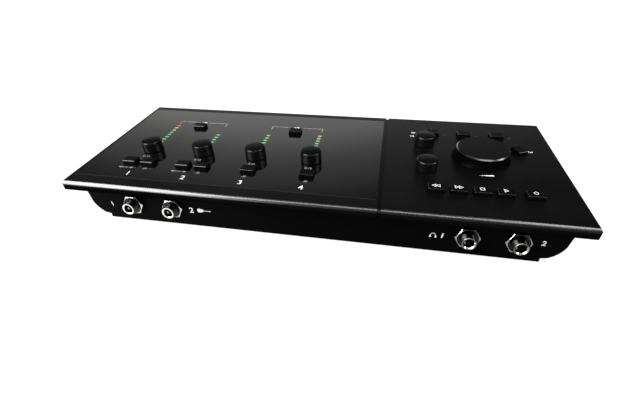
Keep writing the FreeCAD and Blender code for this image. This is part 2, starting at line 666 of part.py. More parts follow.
def make_volume_knob():
    """The large flat knob: flared foot, bevelled rim and a hollow underside round its hub."""
    foot = VOLUME_RADIUS + VOLUME_FLARE
    bore = SHAFT_RADIUS + SCREW_FIT
    hub = 2 * SHAFT_RADIUS
    roof = VOLUME_HEIGHT - KNOB_ROOF
    inner = VOLUME_RADIUS - KNOB_ROOF
    rim = Vector(VOLUME_RADIUS, 0, VOLUME_HEIGHT - VOLUME_BEVEL_DROP)
    corners = [Vector(r, 0, n) for r, n in (
        (VOLUME_RADIUS - VOLUME_BEVEL, VOLUME_HEIGHT), (0, VOLUME_HEIGHT), (0, roof), (bore, roof),
        (bore, KNOB_LIFT), (hub, KNOB_LIFT), (hub, roof), (inner, roof), (inner, KNOB_LIFT),
        (foot, KNOB_LIFT))]
    outline = Part.makePolygon([rim] + corners).Edges + [arc(corners[-1], rim, VOLUME_FLARE / 4)]
    knob = Part.Face(Part.Wire(outline)).revolve(Vector(0, 0, 0), Vector(0, 0, 1), 360)
    knob.translate(Vector(VOLUME_U, VOLUME_V, 0))
    return to_row(knob)


def make_shaft(u, v, height):
    """A control shaft from inside its level control up to the knob's roof."""
    shaft = post(u, v, SHAFT_BOTTOM, SHAFT_RADIUS, height - KNOB_ROOF)
    return to_row(shaft)


def make_pot(u, v):
    """The body of a rotary control, with the bush its shaft turns in."""
    top = FLANGE_TOP
    shoulder = (BOARD_N + top) / 2
    body = block(u, v, BOARD_N, POT_SIZE, POT_SIZE, shoulder)
    bush = post(u, v, shoulder, POT_BUSH_RADIUS, top)
    bore = post(u, v, BOARD_N + POT_FLOOR, SHAFT_RADIUS + SHAFT_RUN, top + 1.0)
    return to_row(body.fuse(bush).cut(bore).removeSplitter())


def jack_bush():
    """The threaded sleeve of a plug socket, drawn pointing out of the face."""
    sleeve = post(0, 0, -PANEL_THICK, JACK_BUSH_RADIUS, JACK_PROUD)
    sleeve = rounded(sleeve, JACK_LIP, lambda e: e.BoundBox.ZMin > JACK_PROUD - 1e-6)
    return sleeve.cut(post(0, 0, -PANEL_THICK - 1.0, JACK_BORE, JACK_PROUD + 1.0))


def jack_body(z):
    """The body of a plug socket behind the face, standing on the main board."""
    low = MAIN_TOP - z
    back = -JACK_BEHIND
    body = Part.makeBox(JACK_BODY_WIDTH, JACK_BODY_RISE - low, JACK_BODY_LENGTH,
                        Vector(-JACK_BODY_WIDTH / 2, low, back))
    return body.cut(post(0, 0, back + JACK_END_WALL, JACK_BORE, 0.0))


def jack_nut(turn):
    """Hexagon nut, turned by an angle from flats at top and bottom, and the washer behind it."""
    corner = NUT_ACROSS / math.sqrt(3)
    angles = [math.radians(60 * k + turn) for k in range(7)]
    corners = [Vector(corner * math.cos(a), corner * math.sin(a), WASHER_THICK) for a in angles]
    hexagon = Part.Face(Part.makePolygon(corners)).extrude(Vector(0, 0, NUT_THICK))
    spread = NUT_THICK / math.tan(math.radians(NUT_BEVEL))
    bevel = Part.makeCone(NUT_ACROSS / 2 + spread, NUT_ACROSS / 2, NUT_THICK, Vector(0, 0, WASHER_THICK))
    bore = post(0, 0, -1.0, JACK_BUSH_RADIUS + NUT_FIT, JACK_PROUD)
    washer = post(0, 0, 0.0, WASHER_RADIUS, WASHER_THICK)
    return hexagon.common(bevel).cut(bore), washer.cut(bore)


def nuts_at(places, rear=False):
    """Nut and washer solids for plug sockets at the given u places. At the rear the flats face each other."""
    turn = 180 / 6 if rear else NUT_TURN
    solids = []
    for u in places:
        solids += [on_face(piece, u, JACK_Z, rear) for piece in jack_nut(turn)]
    return solids


LINE_PLACES = [LINE_U + LINE_PITCH * i for i in range(LINE_COUNT)]
COMBO_PLACES = [COMBO_U + COMBO_PITCH * i for i in range(COMBO_COUNT)]


def pin_holes(count, first, step, ring, radius, low, high):
    """Contact holes on a ring, from height low to height high; first and step are angles in degrees."""
    angles = [math.radians(first + step * k) for k in range(count)]
    return [post(ring * math.cos(angle), ring * math.sin(angle), low, radius, high) for angle in angles]


def make_combo_housing():
    """A combined three-pin and plug socket without its insert: flange, round body and foot."""
    low = MAIN_TOP - COMBO_Z
    half = COMBO_FLANGE / 2
    flange = Part.makeBox(COMBO_FLANGE, COMBO_FLANGE, COMBO_FLANGE_THICK, Vector(-half, -half, 0))
    flange = rounded(flange, COMBO_CORNER, lambda e: e.BoundBox.ZLength > COMBO_FLANGE_THICK / 2)
    body = post(0, 0, -COMBO_LENGTH, COMBO_RADIUS, COMBO_FLANGE_THICK)
    foot = Part.makeBox(COMBO_FOOT, -low, COMBO_LENGTH - PANEL_THICK,
                        Vector(-COMBO_FOOT / 2, low, -COMBO_LENGTH))
    mouth = post(0, 0, COMBO_FLANGE_THICK - COMBO_MOUTH_DEPTH, COMBO_MOUTH, COMBO_FLANGE_THICK + 1.0)
    bore = post(0, 0, JACK_END_WALL - COMBO_LENGTH, JACK_BORE, 0.0)
    return flange.fuse([body, foot]).cut([mouth, bore]).removeSplitter()


def make_combo_insert():
    """The round insert on the floor of a combined socket, with the plug's bore and three contact holes."""
    low = COMBO_FLANGE_THICK - COMBO_MOUTH_DEPTH
    high = COMBO_FLANGE_THICK - COMBO_SUNK
    core = post(0, 0, low, COMBO_CORE, high)
    pins = pin_holes(3, 90, 120, COMBO_PIN_RING, COMBO_PIN_RADIUS, low + JACK_END_WALL, high + 1.0)
    return core.cut([post(0, 0, low - 1.0, JACK_BORE, high + 1.0)] + pins)


def coax_heights():
    """Heights of the two coaxial sockets, one above the other."""
    low = MAIN_TOP + COAX_BLOCK / 2
    return (low, low + COAX_SPACING)


def make_coax():
    """Two stacked coaxial sockets on one block."""
    low, high = coax_heights()
    back = COAX_BODY_LENGTH + PANEL_THICK
    body = Part.makeBox(COAX_BLOCK, high - low + COAX_BLOCK, COAX_BODY_LENGTH,
                        Vector(-COAX_BLOCK / 2, -COAX_BLOCK / 2, -back))
    barrels = [post(0, lift, -PANEL_THICK, COAX_RADIUS, COAX_PROUD) for lift in (0.0, high - low)]
    holes = [post(0, lift, -PANEL_THICK, COAX_HOLE, COAX_PROUD + 1.0) for lift in (0.0, high - low)]
    return on_face(body.fuse(barrels).cut(holes).removeSplitter(), COAX_U, low, rear=True)


MIDI_Z = MAIN_TOP + MIDI_HOUSING / 2


def make_midi_housing():
    """A round five-contact socket without its insert: square housing and sleeve through the panel."""
    half = MIDI_HOUSING / 2
    body = Part.makeBox(MIDI_HOUSING, MIDI_HOUSING, MIDI_LENGTH,
                        Vector(-half, -half, -PANEL_THICK - MIDI_LENGTH))
    sleeve = post(0, 0, -PANEL_THICK, MIDI_SLEEVE, SLEEVE_PROUD)
    mouth = post(0, 0, SLEEVE_PROUD - MIDI_MOUTH_DEPTH, MIDI_MOUTH, SLEEVE_PROUD + 1.0)
    return body.fuse(sleeve).cut(mouth).removeSplitter()


def make_midi_insert():
    """The insert on the floor of a round socket, with five contact holes."""
    low = SLEEVE_PROUD - MIDI_MOUTH_DEPTH
    core = post(0, 0, low, MIDI_CORE, 0.0)
    return core.cut(pin_holes(5, 180, 45, MIDI_PIN_RING, MIDI_PIN_RADIUS, low + JACK_END_WALL, 1.0))


USB_Z = MAIN_TOP + USB_HEIGHT / 2


def make_usb():
    """The square computer socket with its contact tongue."""
    back = PANEL_THICK + USB_LENGTH
    shell = block(0, 0, -back, USB_WIDTH, USB_HEIGHT, SLEEVE_PROUD)
    mouth = block(0, 0, SLEEVE_PROUD - USB_MOUTH_DEPTH, USB_MOUTH_WIDTH, USB_MOUTH_HEIGHT, SLEEVE_PROUD + 1.0)
    tongue = block(0, 0, -back, USB_TONGUE_WIDTH, USB_TONGUE_HEIGHT, SLEEVE_PROUD - USB_TONGUE_SUNK)
    return shell.cut(mouth.cut(tongue))


POWER_Z = MAIN_TOP + POWER_HEIGHT / 2


def make_power_inlet():
    """The round low-voltage inlet with its centre pin."""
    back = PANEL_THICK + POWER_LENGTH
    body = block(0, 0, -back, POWER_WIDTH, POWER_HEIGHT, SLEEVE_PROUD)
    mouth = post(0, 0, SLEEVE_PROUD - POWER_MOUTH_DEPTH, POWER_MOUTH, SLEEVE_PROUD + 1.0)
    pin = post(0, 0, -back, POWER_PIN, -POWER_PIN_SUNK)
    return body.cut(mouth.cut(pin))


def make_front_panel():
    """The front face with its four plug socket holes."""
    holes = [on_face(post(0, 0, -PANEL_THICK - 1.0, JACK_BUSH_RADIUS + PANEL_HOLE_GAP, 1.0), u, JACK_Z)
             for u in INSTRUMENT_U + HEADPHONE_U]
    return end_panel(FACE_Y).cut(holes)


def make_rear_panel():
    """The rear face with one hole for each socket."""
    deep = -PANEL_THICK - 1.0
    gap = SOCKET_GAP

    def round_hole(radius, u, z):
        return on_face(post(0, 0, deep, radius, 1.0), u, z, rear=True)

    def square_hole(width, height, u, z):
        return on_face(block(0, 0, deep, width + 2 * gap, height + 2 * gap, 1.0), u, z, rear=True)

    holes = [round_hole(COMBO_RADIUS + gap, u, COMBO_Z) for u in COMBO_PLACES]
    holes += [round_hole(JACK_BUSH_RADIUS + PANEL_HOLE_GAP, u, JACK_Z) for u in LINE_PLACES]
    holes += [round_hole(COAX_RADIUS + gap, COAX_U, z) for z in coax_heights()]
    holes += [round_hole(MIDI_SLEEVE + gap, u, MIDI_Z) for u in MIDI_U]
    holes.append(square_hole(USB_WIDTH, USB_HEIGHT, USB_U, USB_Z))
    holes.append(square_hole(POWER_WIDTH, POWER_HEIGHT, POWER_U, POWER_Z))
    return end_panel(REAR_Y - PANEL_THICK).cut(holes)


def make_components():
    """Chips on the main board, and the pin strip that links it to the control board."""
    solids = []
    for u, back, width, depth, height in CHIPS:
        solids.append(block(u * SPREAD - HALF, FACE_Y + back * DEEPEN, MAIN_TOP, width, depth,
                            MAIN_TOP + height))
    link = block(LINK_U - HALF, FACE_Y + LINK_BACK, MAIN_TOP, LINK_WIDTH, LINK_DEPTH, PANEL_Z)
    solids.append(link.cut(above(BOARD_N - BOARD_THICK)))
    return solids


def make_capacitors():
    """A row of upright round capacitors on the main board."""
    cans = []
    for i in range(CAPACITOR_COUNT):
        can = post(CAPACITOR_U + CAPACITOR_PITCH * i - HALF, FACE_Y + CAPACITOR_BACK, MAIN_TOP,
                   CAPACITOR_RADIUS, MAIN_TOP + CAPACITOR_HEIGHT)
        cans.append(rounded(can, CAPACITOR_ROUND,
                            lambda e: e.BoundBox.ZMin > MAIN_TOP + CAPACITOR_HEIGHT / 2))
    return cans


os.makedirs("parts", exist_ok=True)

# Shells
save("top_cover", make_cover())
save("input_plate", make_plate())
save("bottom_case", make_case())
save("front_panel", make_front_panel())
save("rear_panel", make_rear_panel())
save("rubber_feet", *make_feet())

# Fasteners and boards
save("case_screws", *[screw(u - HALF, FACE_Y + back, FEET_HEIGHT + SCREW_HEAD_HEIGHT)
                      for u, back in CASE_SCREWS])
save("board_screws", *make_board_screws())
save("board_standoffs", *make_standoffs())
save("control_board", make_control_board())
save("main_board", make_main_board())
save("board_components", *make_components())
save("filter_capacitors", *make_capacitors())

# Knobs, shafts and rotary controls
for knob_name, shaft_name, u, v, radius, height in knob_places():
    knob = make_volume_knob() if knob_name == "volume_knob" else make_small_knob(u, v, radius, height)
    save(knob_name, knob)
    save(shaft_name, make_shaft(u, v, height))
save("rotary_controls", *[make_pot(u, v) for _, _, u, v, _, _ in knob_places()])

# Buttons and switches
for name, u, v, turn in button_places():
    save(name, make_button(u, v, turn))
save("button_switches", *[make_switch(u, v, turn) for _, u, v, turn in button_places()])

# Lights
first_green = METER_REDS + METER_YELLOWS
for name, first, count in (("red_meter_lights", 0, METER_REDS),
                           ("yellow_meter_lights", METER_REDS, METER_YELLOWS),
                           ("green_meter_lights", first_green, METER_GREENS)):
    save(name, *[to_row(bar) for bar in light_bars(meter_places(first, count), METER_WIDTH, METER_DEPTH)])
power_light = light_bars([(POWER_LIGHT_U, POWER_LIGHT_V)], POWER_LIGHT_WIDTH, POWER_LIGHT_DEPTH)
save("status_lights", *[to_row(light) for light in power_light + light_dots()])

# Sockets
FRONT_PLACES = INSTRUMENT_U + HEADPHONE_U
save("front_jack_sleeves", *[on_face(jack_bush(), u, JACK_Z) for u in FRONT_PLACES])
save("front_jack_bodies", *[on_face(jack_body(JACK_Z), u, JACK_Z) for u in FRONT_PLACES])
save("jack_nuts", *(nuts_at(FRONT_PLACES) + nuts_at(LINE_PLACES, rear=True)))
line_jack = jack_bush().fuse(jack_body(JACK_Z)).removeSplitter()
save("line_output_jacks", *[on_face(line_jack, u, JACK_Z, rear=True) for u in LINE_PLACES])
save("combo_inputs", *[on_face(make_combo_housing(), u, COMBO_Z, rear=True) for u in COMBO_PLACES])
save("coaxial_sockets", make_coax())
save("midi_sockets", *[on_face(make_midi_housing(), u, MIDI_Z, rear=True) for u in MIDI_U])
inserts = [on_face(make_combo_insert(), u, COMBO_Z, rear=True) for u in COMBO_PLACES]
inserts += [on_face(make_midi_insert(), u, MIDI_Z, rear=True) for u in MIDI_U]
save("socket_inserts", *inserts)
save("usb_socket", on_face(make_usb(), USB_U, USB_Z, rear=True))
save("power_inlet", on_face(make_power_inlet(), POWER_U, POWER_Z, rear=True))
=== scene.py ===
# %% [markdown]
# # Desktop audio interface
#
# A thin black cover slopes over a narrower, boat-shaped case. The left two thirds of the top is a
# mirror-like acrylic plate with four channel strips, and the right third holds the monitor controls.
# The solids come from CAD and already sit where they belong, so this notebook gives them their
# finishes and adds what CAD leaves out: printed marks, lit windows, screw threads, contacts and the
# copper on the boards.

# %% Load the fixed frame
import json
import math

import bmesh
import bpy
from mathutils import Matrix, Vector


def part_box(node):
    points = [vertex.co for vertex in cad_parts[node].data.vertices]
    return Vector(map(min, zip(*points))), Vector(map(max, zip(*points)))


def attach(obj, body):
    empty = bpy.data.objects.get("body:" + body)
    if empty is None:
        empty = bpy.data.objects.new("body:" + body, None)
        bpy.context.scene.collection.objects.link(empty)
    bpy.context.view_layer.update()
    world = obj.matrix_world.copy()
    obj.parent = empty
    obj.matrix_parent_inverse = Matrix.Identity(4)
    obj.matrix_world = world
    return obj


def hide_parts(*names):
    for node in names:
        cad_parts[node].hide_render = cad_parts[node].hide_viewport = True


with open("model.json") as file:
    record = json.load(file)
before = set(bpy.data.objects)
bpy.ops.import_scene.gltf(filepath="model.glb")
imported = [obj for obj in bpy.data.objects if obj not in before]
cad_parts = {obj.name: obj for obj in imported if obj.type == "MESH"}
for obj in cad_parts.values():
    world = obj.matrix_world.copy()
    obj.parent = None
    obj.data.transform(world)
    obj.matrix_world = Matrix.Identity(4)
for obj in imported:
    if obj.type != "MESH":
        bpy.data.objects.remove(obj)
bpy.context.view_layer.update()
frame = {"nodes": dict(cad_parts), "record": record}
nodes = frame["nodes"]

# %% [markdown]
# ## Places
#
# Blender works in metres, and a drawing of such a box is made in millimetres. Things on the sloping
# top are easiest to place along its own surface: u runs from the left end, v back along the slope from
# the front edge, and n stands square to it. One small function for each face gives the place and the turn
# of a drawing made in millimetres, so that every piece can be written with the sizes that a ruler reads.

# %% Places on the three faces
MM = 0.001
HALF = 175.0
SLOPE = math.radians(5.0)
PANEL_Y = -(66.7 * math.cos(SLOPE) + 4.2 * math.sin(SLOPE))
FACE_Y = PANEL_Y + 11.0 * math.cos(SLOPE)
REAR_Y = FACE_Y + 113.0
PANEL_Z = 39.0 - 11.0 * math.sin(SLOPE)


def standing(x, y, z, turn):
    """Where a small drawing in mm goes: its origin at (x, y, z) mm, turned by a rotation matrix."""
    return Matrix.Translation(Vector((x, y, z)) * MM) @ turn @ Matrix.Diagonal((MM, MM, MM, 1.0))


def on_top(u, v, n=0.0, spin=0.0):
    """A place on the sloping top, for drawings in u and v with n pointing out."""
    tilt = Matrix.Rotation(SLOPE, 4, "X")
    spot = tilt @ Vector((u, v, n))
    return standing(spot.x - HALF, spot.y + PANEL_Y, spot.z + PANEL_Z, tilt @ Matrix.Rotation(spin, 4, "Z"))


def on_front(u, z, n=0.0):
    """A place on the front face, for drawings seen from the front."""
    return standing(u - HALF, FACE_Y - n, z, Matrix.Rotation(math.pi / 2, 4, "X"))


def on_rear(u, z, n=0.0):
    """A place on the rear face, for drawings seen from behind."""
    return standing(u - HALF, REAR_Y + n, z, Matrix.Rotation(math.pi, 4, "Z") @ Matrix.Rotation(math.pi / 2, 4, "X"))


print("flat top starts at", tuple(round(c, 4) for c in on_top(0, 0).translation), "m")

# %% [markdown]
# ## Nodes in one line each
#
# Materials and shapes are both drawn as graphs. One helper adds a node, sets its options and fills its
# inputs: an input that is given another node's output is linked, and any other value is typed in.
# Colours are written as they look on a screen, in hex, and turned to the linear values that light needs.

# %% Helpers for colours and graphs
def linear(code):
    """The linear colour of an sRGB hex code."""
    parts = [int(code[i:i + 2], 16) / 255 for i in (1, 3, 5)]
    return [c / 12.92 if c <= 0.04045 else ((c + 0.055) / 1.055) ** 2.4 for c in parts] + [1.0]


def add(tree, kind, inputs=None, **settings):
    """Adds a node, with its settings and its inputs by name or number."""
    node = tree.nodes.new(kind)
    for name, value in settings.items():
        setattr(node, name, value)
    for name, value in (inputs or {}).items():
        if isinstance(value, bpy.types.NodeSocket):
            tree.links.new(value, node.inputs[name])
        else:
            node.inputs[name].default_value = value
    return node


print("mid grey is", [round(c, 3) for c in linear("#808080")[:3]])

# %% [markdown]
# ## The camera
#
# The photograph looks down on the box from in front and a little to the right, with a fairly wide lens.
# The place and the turn of the camera were worked out from the regular grid of knobs and buttons.
# The camera comes first, because every later choice is judged through it.

# %% Set up the camera
camera = bpy.data.objects.new("camera", bpy.data.cameras.new("camera"))
bpy.context.scene.collection.objects.link(camera)
right = Vector((0.98110, 0.19302, -0.01483))
forward = Vector((-0.17030, 0.82385, -0.54056)).normalized()
right = (right - right.dot(forward) * forward).normalized()
turn = Matrix((right, right.cross(forward), -forward)).transposed()
camera.matrix_world = Matrix.Translation((0.05053, -0.26301, 0.16120)) @ turn.to_4x4()
camera.data.lens = 21.185
camera.data.sensor_width = 36.0
camera.data.clip_start = 0.01
bpy.context.scene.camera = camera
bpy.context.scene.view_settings.view_transform = "Standard"
print("camera looks down", round(math.degrees(math.asin(-forward.z)), 1), "degrees")

# %% [markdown]
# ## Light
#
# Black, shiny things are lit by what they mirror. The photograph shows a long bright line on the rounded
# front edge, brightest at the left: a strong softbox at the left draws it, and a long one high in front
# carries it on to the right. A third lamp at the right fills the far end, and one beside it draws the second
# highlight down the knobs' flanks. A low, wide one in front reaches under the overhanging edge, where it
# draws the thin bright lines on the nuts.

# %% Soft lamps
def softbox(name, azimuth, elevation, distance, size, radiance):
    """A rectangular lamp that faces the object from a direction in degrees; azimuth 0 is in front."""
    a, e = math.radians(azimuth), math.radians(elevation)
    away = Vector((math.sin(a) * math.cos(e), -math.cos(a) * math.cos(e), math.sin(e)))
    lamp = bpy.data.lights.new(name, "AREA")
    lamp.shape = "RECTANGLE"
    lamp.size, lamp.size_y = size
    lamp.energy = radiance * math.pi * size[0] * size[1]
    holder = bpy.data.objects.new(name, lamp)
    holder.location = away * distance
    holder.rotation_euler = away.to_track_quat("Z", "Y").to_euler()
    bpy.context.scene.collection.objects.link(holder)
    return holder


softbox("left_softbox", -55, 37, 1.5, (1.00, 0.80), 12.0)
softbox("front_softbox", 8, 62, 1.6, (1.60, 0.28), 6.0)
softbox("right_softbox", 76, 59, 1.5, (0.45, 0.35), 8.0)
softbox("low_softbox", -45, 13, 1.5, (1.20, 0.55), 6.0)
softbox("side_softbox", 80, 30, 1.5, (0.80, 0.60), 8.0)

# %% [markdown]
# ## The studio
#
# The acrylic plate mirrors what stands behind the box: a backdrop with a wide pool of light, whose middle
# lies under the horizon and a little to the left. It gives the plate its grey, which fades towards the
# viewer and towards both ends. The pool is a ramp over the angle from its middle, and its steps were fitted
# to the plate's brightness. Only the camera sees plain white instead.

# %% A backdrop with a pool of light
world = bpy.data.worlds.new("studio")
bpy.context.scene.world = world
world.use_nodes = True
sky = world.node_tree
sky.nodes.clear()
rays = add(sky, "ShaderNodeLightPath")
direction = add(sky, "ShaderNodeTexCoord").outputs["Generated"]
pool_azimuth, pool_elevation = math.radians(-13), math.radians(-11)
pool = (math.sin(pool_azimuth) * math.cos(pool_elevation), math.cos(pool_azimuth) * math.cos(pool_elevation),
        math.sin(pool_elevation))
near = add(sky, "ShaderNodeVectorMath", {0: direction, 1: pool}, operation="DOT_PRODUCT")
angle = add(sky, "ShaderNodeMath", {0: near.outputs["Value"]}, operation="ARCCOSINE")
POOL_REACH = 70
share = add(sky, "ShaderNodeMath", {0: angle.outputs[0], 1: math.radians(POOL_REACH)}, operation="DIVIDE")
fade = add(sky, "ShaderNodeValToRGB", {"Fac": share.outputs[0]}).color_ramp
POOL = ((39, "#ffffff"), (41.5, "#f7f7f5"), (43.2, "#e5e5e3"), (44.8, "#c8c8c6"), (47.2, "#adadab"),
        (49.6, "#959594"), (51.4, "#757575"), (53.2, "#5f5f5f"), (58, "#4c4c4c"))
while len(fade.elements) < len(POOL):
    fade.elements.new(0.5)
for spot, (degrees, code) in zip(fade.elements, POOL):
    spot.position = degrees / POOL_REACH
    spot.color = linear(code)
studio = add(sky, "ShaderNodeBackground", {"Color": sky.nodes["Color Ramp"].outputs["Color"], "Strength": 1.0})
white = add(sky, "ShaderNodeBackground", {"Color": linear("#ffffff"), "Strength": 1.0})
mixed = add(sky, "ShaderNodeMixShader", {0: rays.outputs["Is Camera Ray"], 1: studio.outputs[0], 2: white.outputs[0]})
add(sky, "ShaderNodeOutputWorld", {"Surface": mixed.outputs[0]})
print("pool of light towards", [round(c, 2) for c in pool])

# %% [markdown]
# ## The floor
#
# A cut-out picture has no floor, but a render needs one, or the box would float. A white sheet whose own
# glow is seen only by the camera and by shiny surfaces stays white, and still darkens a little where the
# box keeps light away; its glow is also dimmed near the box as painted shade. Shiny things see a painted pool of
# lamp light on it, bright at the left, and grey at the right.
# Seen from below the sheet is clear, so that the underside can be looked at.

# %% Lay a white floor
def plain_mesh(name, vertices, faces, material):
    """A mesh object from vertices in metres."""
    mesh = bpy.data.meshes.new(name)
    mesh.from_pydata([tuple(v) for v in vertices], [], faces)
    mesh.materials.append(material)
    obj = bpy.data.objects.new(name, mesh)
    bpy.context.scene.collection.objects.link(obj)
    return obj


paper = bpy.data.materials.new("white_paper_floor")
paper.use_nodes = True
tree = paper.node_tree
tree.nodes.clear()
rays = add(tree, "ShaderNodeLightPath")
place = add(tree, "ShaderNodeTexCoord").outputs["Object"]
across = add(tree, "ShaderNodeSeparateXYZ", {0: place}).outputs["X"]
# Glossy rays see the sheet bright at the left and grey at the right: a painted pool of lamp light.
painted_lamp_pool = add(tree, "ShaderNodeMapRange", {"Value": across, "From Min": -0.12, "From Max": 0.02,
                                          "To Min": 1.3, "To Max": 0.15})
mirrored = add(tree, "ShaderNodeMath", {0: rays.outputs["Is Glossy Ray"], 1: painted_lamp_pool.outputs[0]}, operation="MULTIPLY")
seen = add(tree, "ShaderNodeMath", {0: rays.outputs["Is Camera Ray"], 1: mirrored.outputs[0]}, operation="MAXIMUM")
seen = add(tree, "ShaderNodeMath", {0: seen.outputs[0], 1: rays.outputs["Is Transmission Ray"]},
           operation="MAXIMUM")
spread = add(tree, "ShaderNodeVectorMath", {0: place}, operation="LENGTH")
# The glow is lower within a quarter metre of the box and full from 1.2 m on: painted shade near the box.
painted_shade_near_box = add(tree, "ShaderNodeMapRange", {"Value": spread.outputs["Value"], "From Min": 0.25, "From Max": 1.2,
                                       "To Min": 0.80, "To Max": 1.0})
glow = add(tree, "ShaderNodeMath", {0: seen.outputs[0], 1: painted_shade_near_box.outputs[0]}, operation="MULTIPLY")
sheet = add(tree, "ShaderNodeEmission", {"Color": linear("#ffffff"), "Strength": glow.outputs[0]})
matt = add(tree, "ShaderNodeBsdfDiffuse", {"Color": linear("#999999")})
lit = add(tree, "ShaderNodeAddShader", {0: sheet.outputs[0], 1: matt.outputs[0]})
side = add(tree, "ShaderNodeNewGeometry")
clear = add(tree, "ShaderNodeBsdfTransparent")
floor_side = add(tree, "ShaderNodeMixShader", {0: side.outputs["Backfacing"], 1: lit.outputs[0], 2: clear.outputs[0]})
add(tree, "ShaderNodeOutputMaterial", {"Surface": floor_side.outputs[0]})
floor = plain_mesh("floor", [(-3, -3, 0), (3, -3, 0), (3, 3, 0), (-3, 3, 0)], [(0, 1, 2, 3)], paper)
print("floor", floor.dimensions[0], "m wide")

# %% [markdown]
# ## Moulded and painted finishes
#
# Most of the box is black plastic or black paint, and black things differ only in their shine and their
# grain. One function makes such a finish: two near colours mixed over a grain of a real size in
# millimetres, a roughness that varies with it, and a fine bump. Each use says what the real finish is.

# %% A function for grained finishes
def grained(name, colours, rough, grain, bump, **sockets):
    """A finish whose colour and roughness vary over a grain of the given size in mm."""
    material = bpy.data.materials.new(name)
    material.use_nodes = True
    tree = material.node_tree
    shader = tree.nodes["Principled BSDF"]
    place = add(tree, "ShaderNodeTexCoord").outputs["Object"]
    cells = add(tree, "ShaderNodeTexNoise", {"Vector": place, "Scale": 1 / (grain * MM), "Detail": 3.0})
    cloud = add(tree, "ShaderNodeTexNoise", {"Vector": place, "Scale": 25.0, "Detail": 2.0})
    blend = add(tree, "ShaderNodeMath", {0: cells.outputs["Fac"], 1: cloud.outputs["Fac"]}, operation="MULTIPLY")
    spread = add(tree, "ShaderNodeMapRange", {"Value": blend.outputs[0], "From Min": 0.12, "From Max": 0.38})
    colour = add(tree, "ShaderNodeMix", {0: spread.outputs[0], 6: linear(colours[0]), 7: linear(colours[1])},
                 data_type="RGBA")
    dull = add(tree, "ShaderNodeMapRange", {"Value": spread.outputs[0], "To Min": rough[0], "To Max": rough[1]})
    relief = add(tree, "ShaderNodeBump", {"Height": cells.outputs["Fac"], "Strength": 1.0, "Distance": bump * MM})
    for socket, source in (("Base Color", colour.outputs[2]), ("Roughness", dull.outputs[0]),
                           ("Normal", relief.outputs[0])):
        tree.links.new(source, shader.inputs[socket])
    for socket, value in sockets.items():
        shader.inputs[socket.replace("_", " ")].default_value = value
    return material


finishes = {}
# Enamel on the faces and under the cover, rolled thin and left dull.
finishes["face_black"] = grained("dull_enamel", ("#040404", "#060606"), (0.50, 0.60), 0.8, 0.006, IOR=1.45,
                                  Specular_IOR_Level=0.02)
# Powder coat on folded steel: a pebbled skin, which breaks up every reflection.
finishes["case_black"] = grained("powder_coat", ("#070707", "#0d0d0d"), (0.50, 0.62), 0.7, 0.030, IOR=1.45,
                                  Specular_IOR_Level=0.08)
# Moulded ABS, polished in the tool: the buttons' edges catch a thin line of light.
finishes["button_black"] = grained("polished_abs", ("#060607", "#0a0a0b"), (0.22, 0.30), 0.6, 0.004, IOR=1.53,
                                  Specular_IOR_Level=0.02)
# Black nylon with glass fibre, as sockets are moulded from.
finishes["socket_plastic"] = grained("glass_filled_nylon", ("#0b0b0c", "#161617"), (0.38, 0.50), 0.5, 0.012, IOR=1.53)
# Thermoset of the small switches.
finishes["switch_plastic"] = grained("switch_thermoset", ("#15151a", "#202026"), (0.35, 0.45), 0.5, 0.006, IOR=1.55)
# Rubber of the feet: no shine, and a dusty bloom.
finishes["feet_rubber"] = grained("foot_rubber", ("#121212", "#1d1d1c"), (0.78, 0.92), 0.5, 0.030, IOR=1.52)
print(len(finishes), "painted and moulded finishes")

# %% [markdown]
# ## Bright bands
#
# The cover is aluminium with baked satin enamel, and the upper part of its rounded edge is buffed bright,
# which is where the long highlight runs. The knobs' rims and the buttons' edges are polished by fingers
# in the same way. A clear coat does that: it has its weight only in a band, measured by the height over
# the sloping top, and on the cover only along the front. The finish underneath stays dull. The cover shines
# a little only from its band up, and a knob's worn top and its flank each have a shine of their own.

# %% A clear coat between two heights
def height_of(tree):
    """The height over the sloping top, in metres, as a socket."""
    place = add(tree, "ShaderNodeTexCoord").outputs["Object"]
    outward = (0.0, -math.sin(SLOPE), math.cos(SLOPE))
    lifted = add(tree, "ShaderNodeVectorMath", {0: place, 1: outward}, operation="DOT_PRODUCT")
    start = Vector(outward).dot(on_top(0, 0).translation)
    return add(tree, "ShaderNodeMath", {0: lifted.outputs["Value"], 1: start}, operation="SUBTRACT").outputs[0]


def buffed(material, low, high, soft, rough, weight=1.0, back=100.0):
    """Gives a finish a clear coat from one height to another, in mm, with soft ends, and only in front of back.
    Returns the band's lower ramp."""
    tree = material.node_tree
    shader = tree.nodes["Principled BSDF"]
    height = height_of(tree)
    place = add(tree, "ShaderNodeTexCoord").outputs["Object"]
    depth = add(tree, "ShaderNodeSeparateXYZ", {0: place}).outputs["Y"]
    ends = [add(tree, "ShaderNodeMapRange", {"Value": value, "From Min": start * MM, "From Max": stop * MM})
            for value, start, stop in ((height, low - soft, low + soft), (height, high + 0.1, high - 0.1),
                                       (depth, back + 0.3, back - 0.3))]
    band = add(tree, "ShaderNodeMath", {0: ends[0].outputs[0], 1: ends[1].outputs[0]}, operation="MULTIPLY")
    kept = add(tree, "ShaderNodeMath", {0: band.outputs[0], 1: ends[2].outputs[0]}, operation="MULTIPLY")
    coat = add(tree, "ShaderNodeMath", {0: kept.outputs[0], 1: weight}, operation="MULTIPLY")
    tree.links.new(coat.outputs[0], shader.inputs["Coat Weight"])
    shader.inputs["Coat IOR"].default_value = 1.8
    shader.inputs["Coat Roughness"].default_value = rough
    return ends[0].outputs[0]


def dull_above(material, over, below, above):
    """Gives a finish one shine under its band and another from the band up."""
    tree = material.node_tree
    shine = add(tree, "ShaderNodeMapRange", {"Value": over, "To Min": below, "To Max": above})
    tree.links.new(shine.outputs[0], tree.nodes["Principled BSDF"].inputs["Specular IOR Level"])


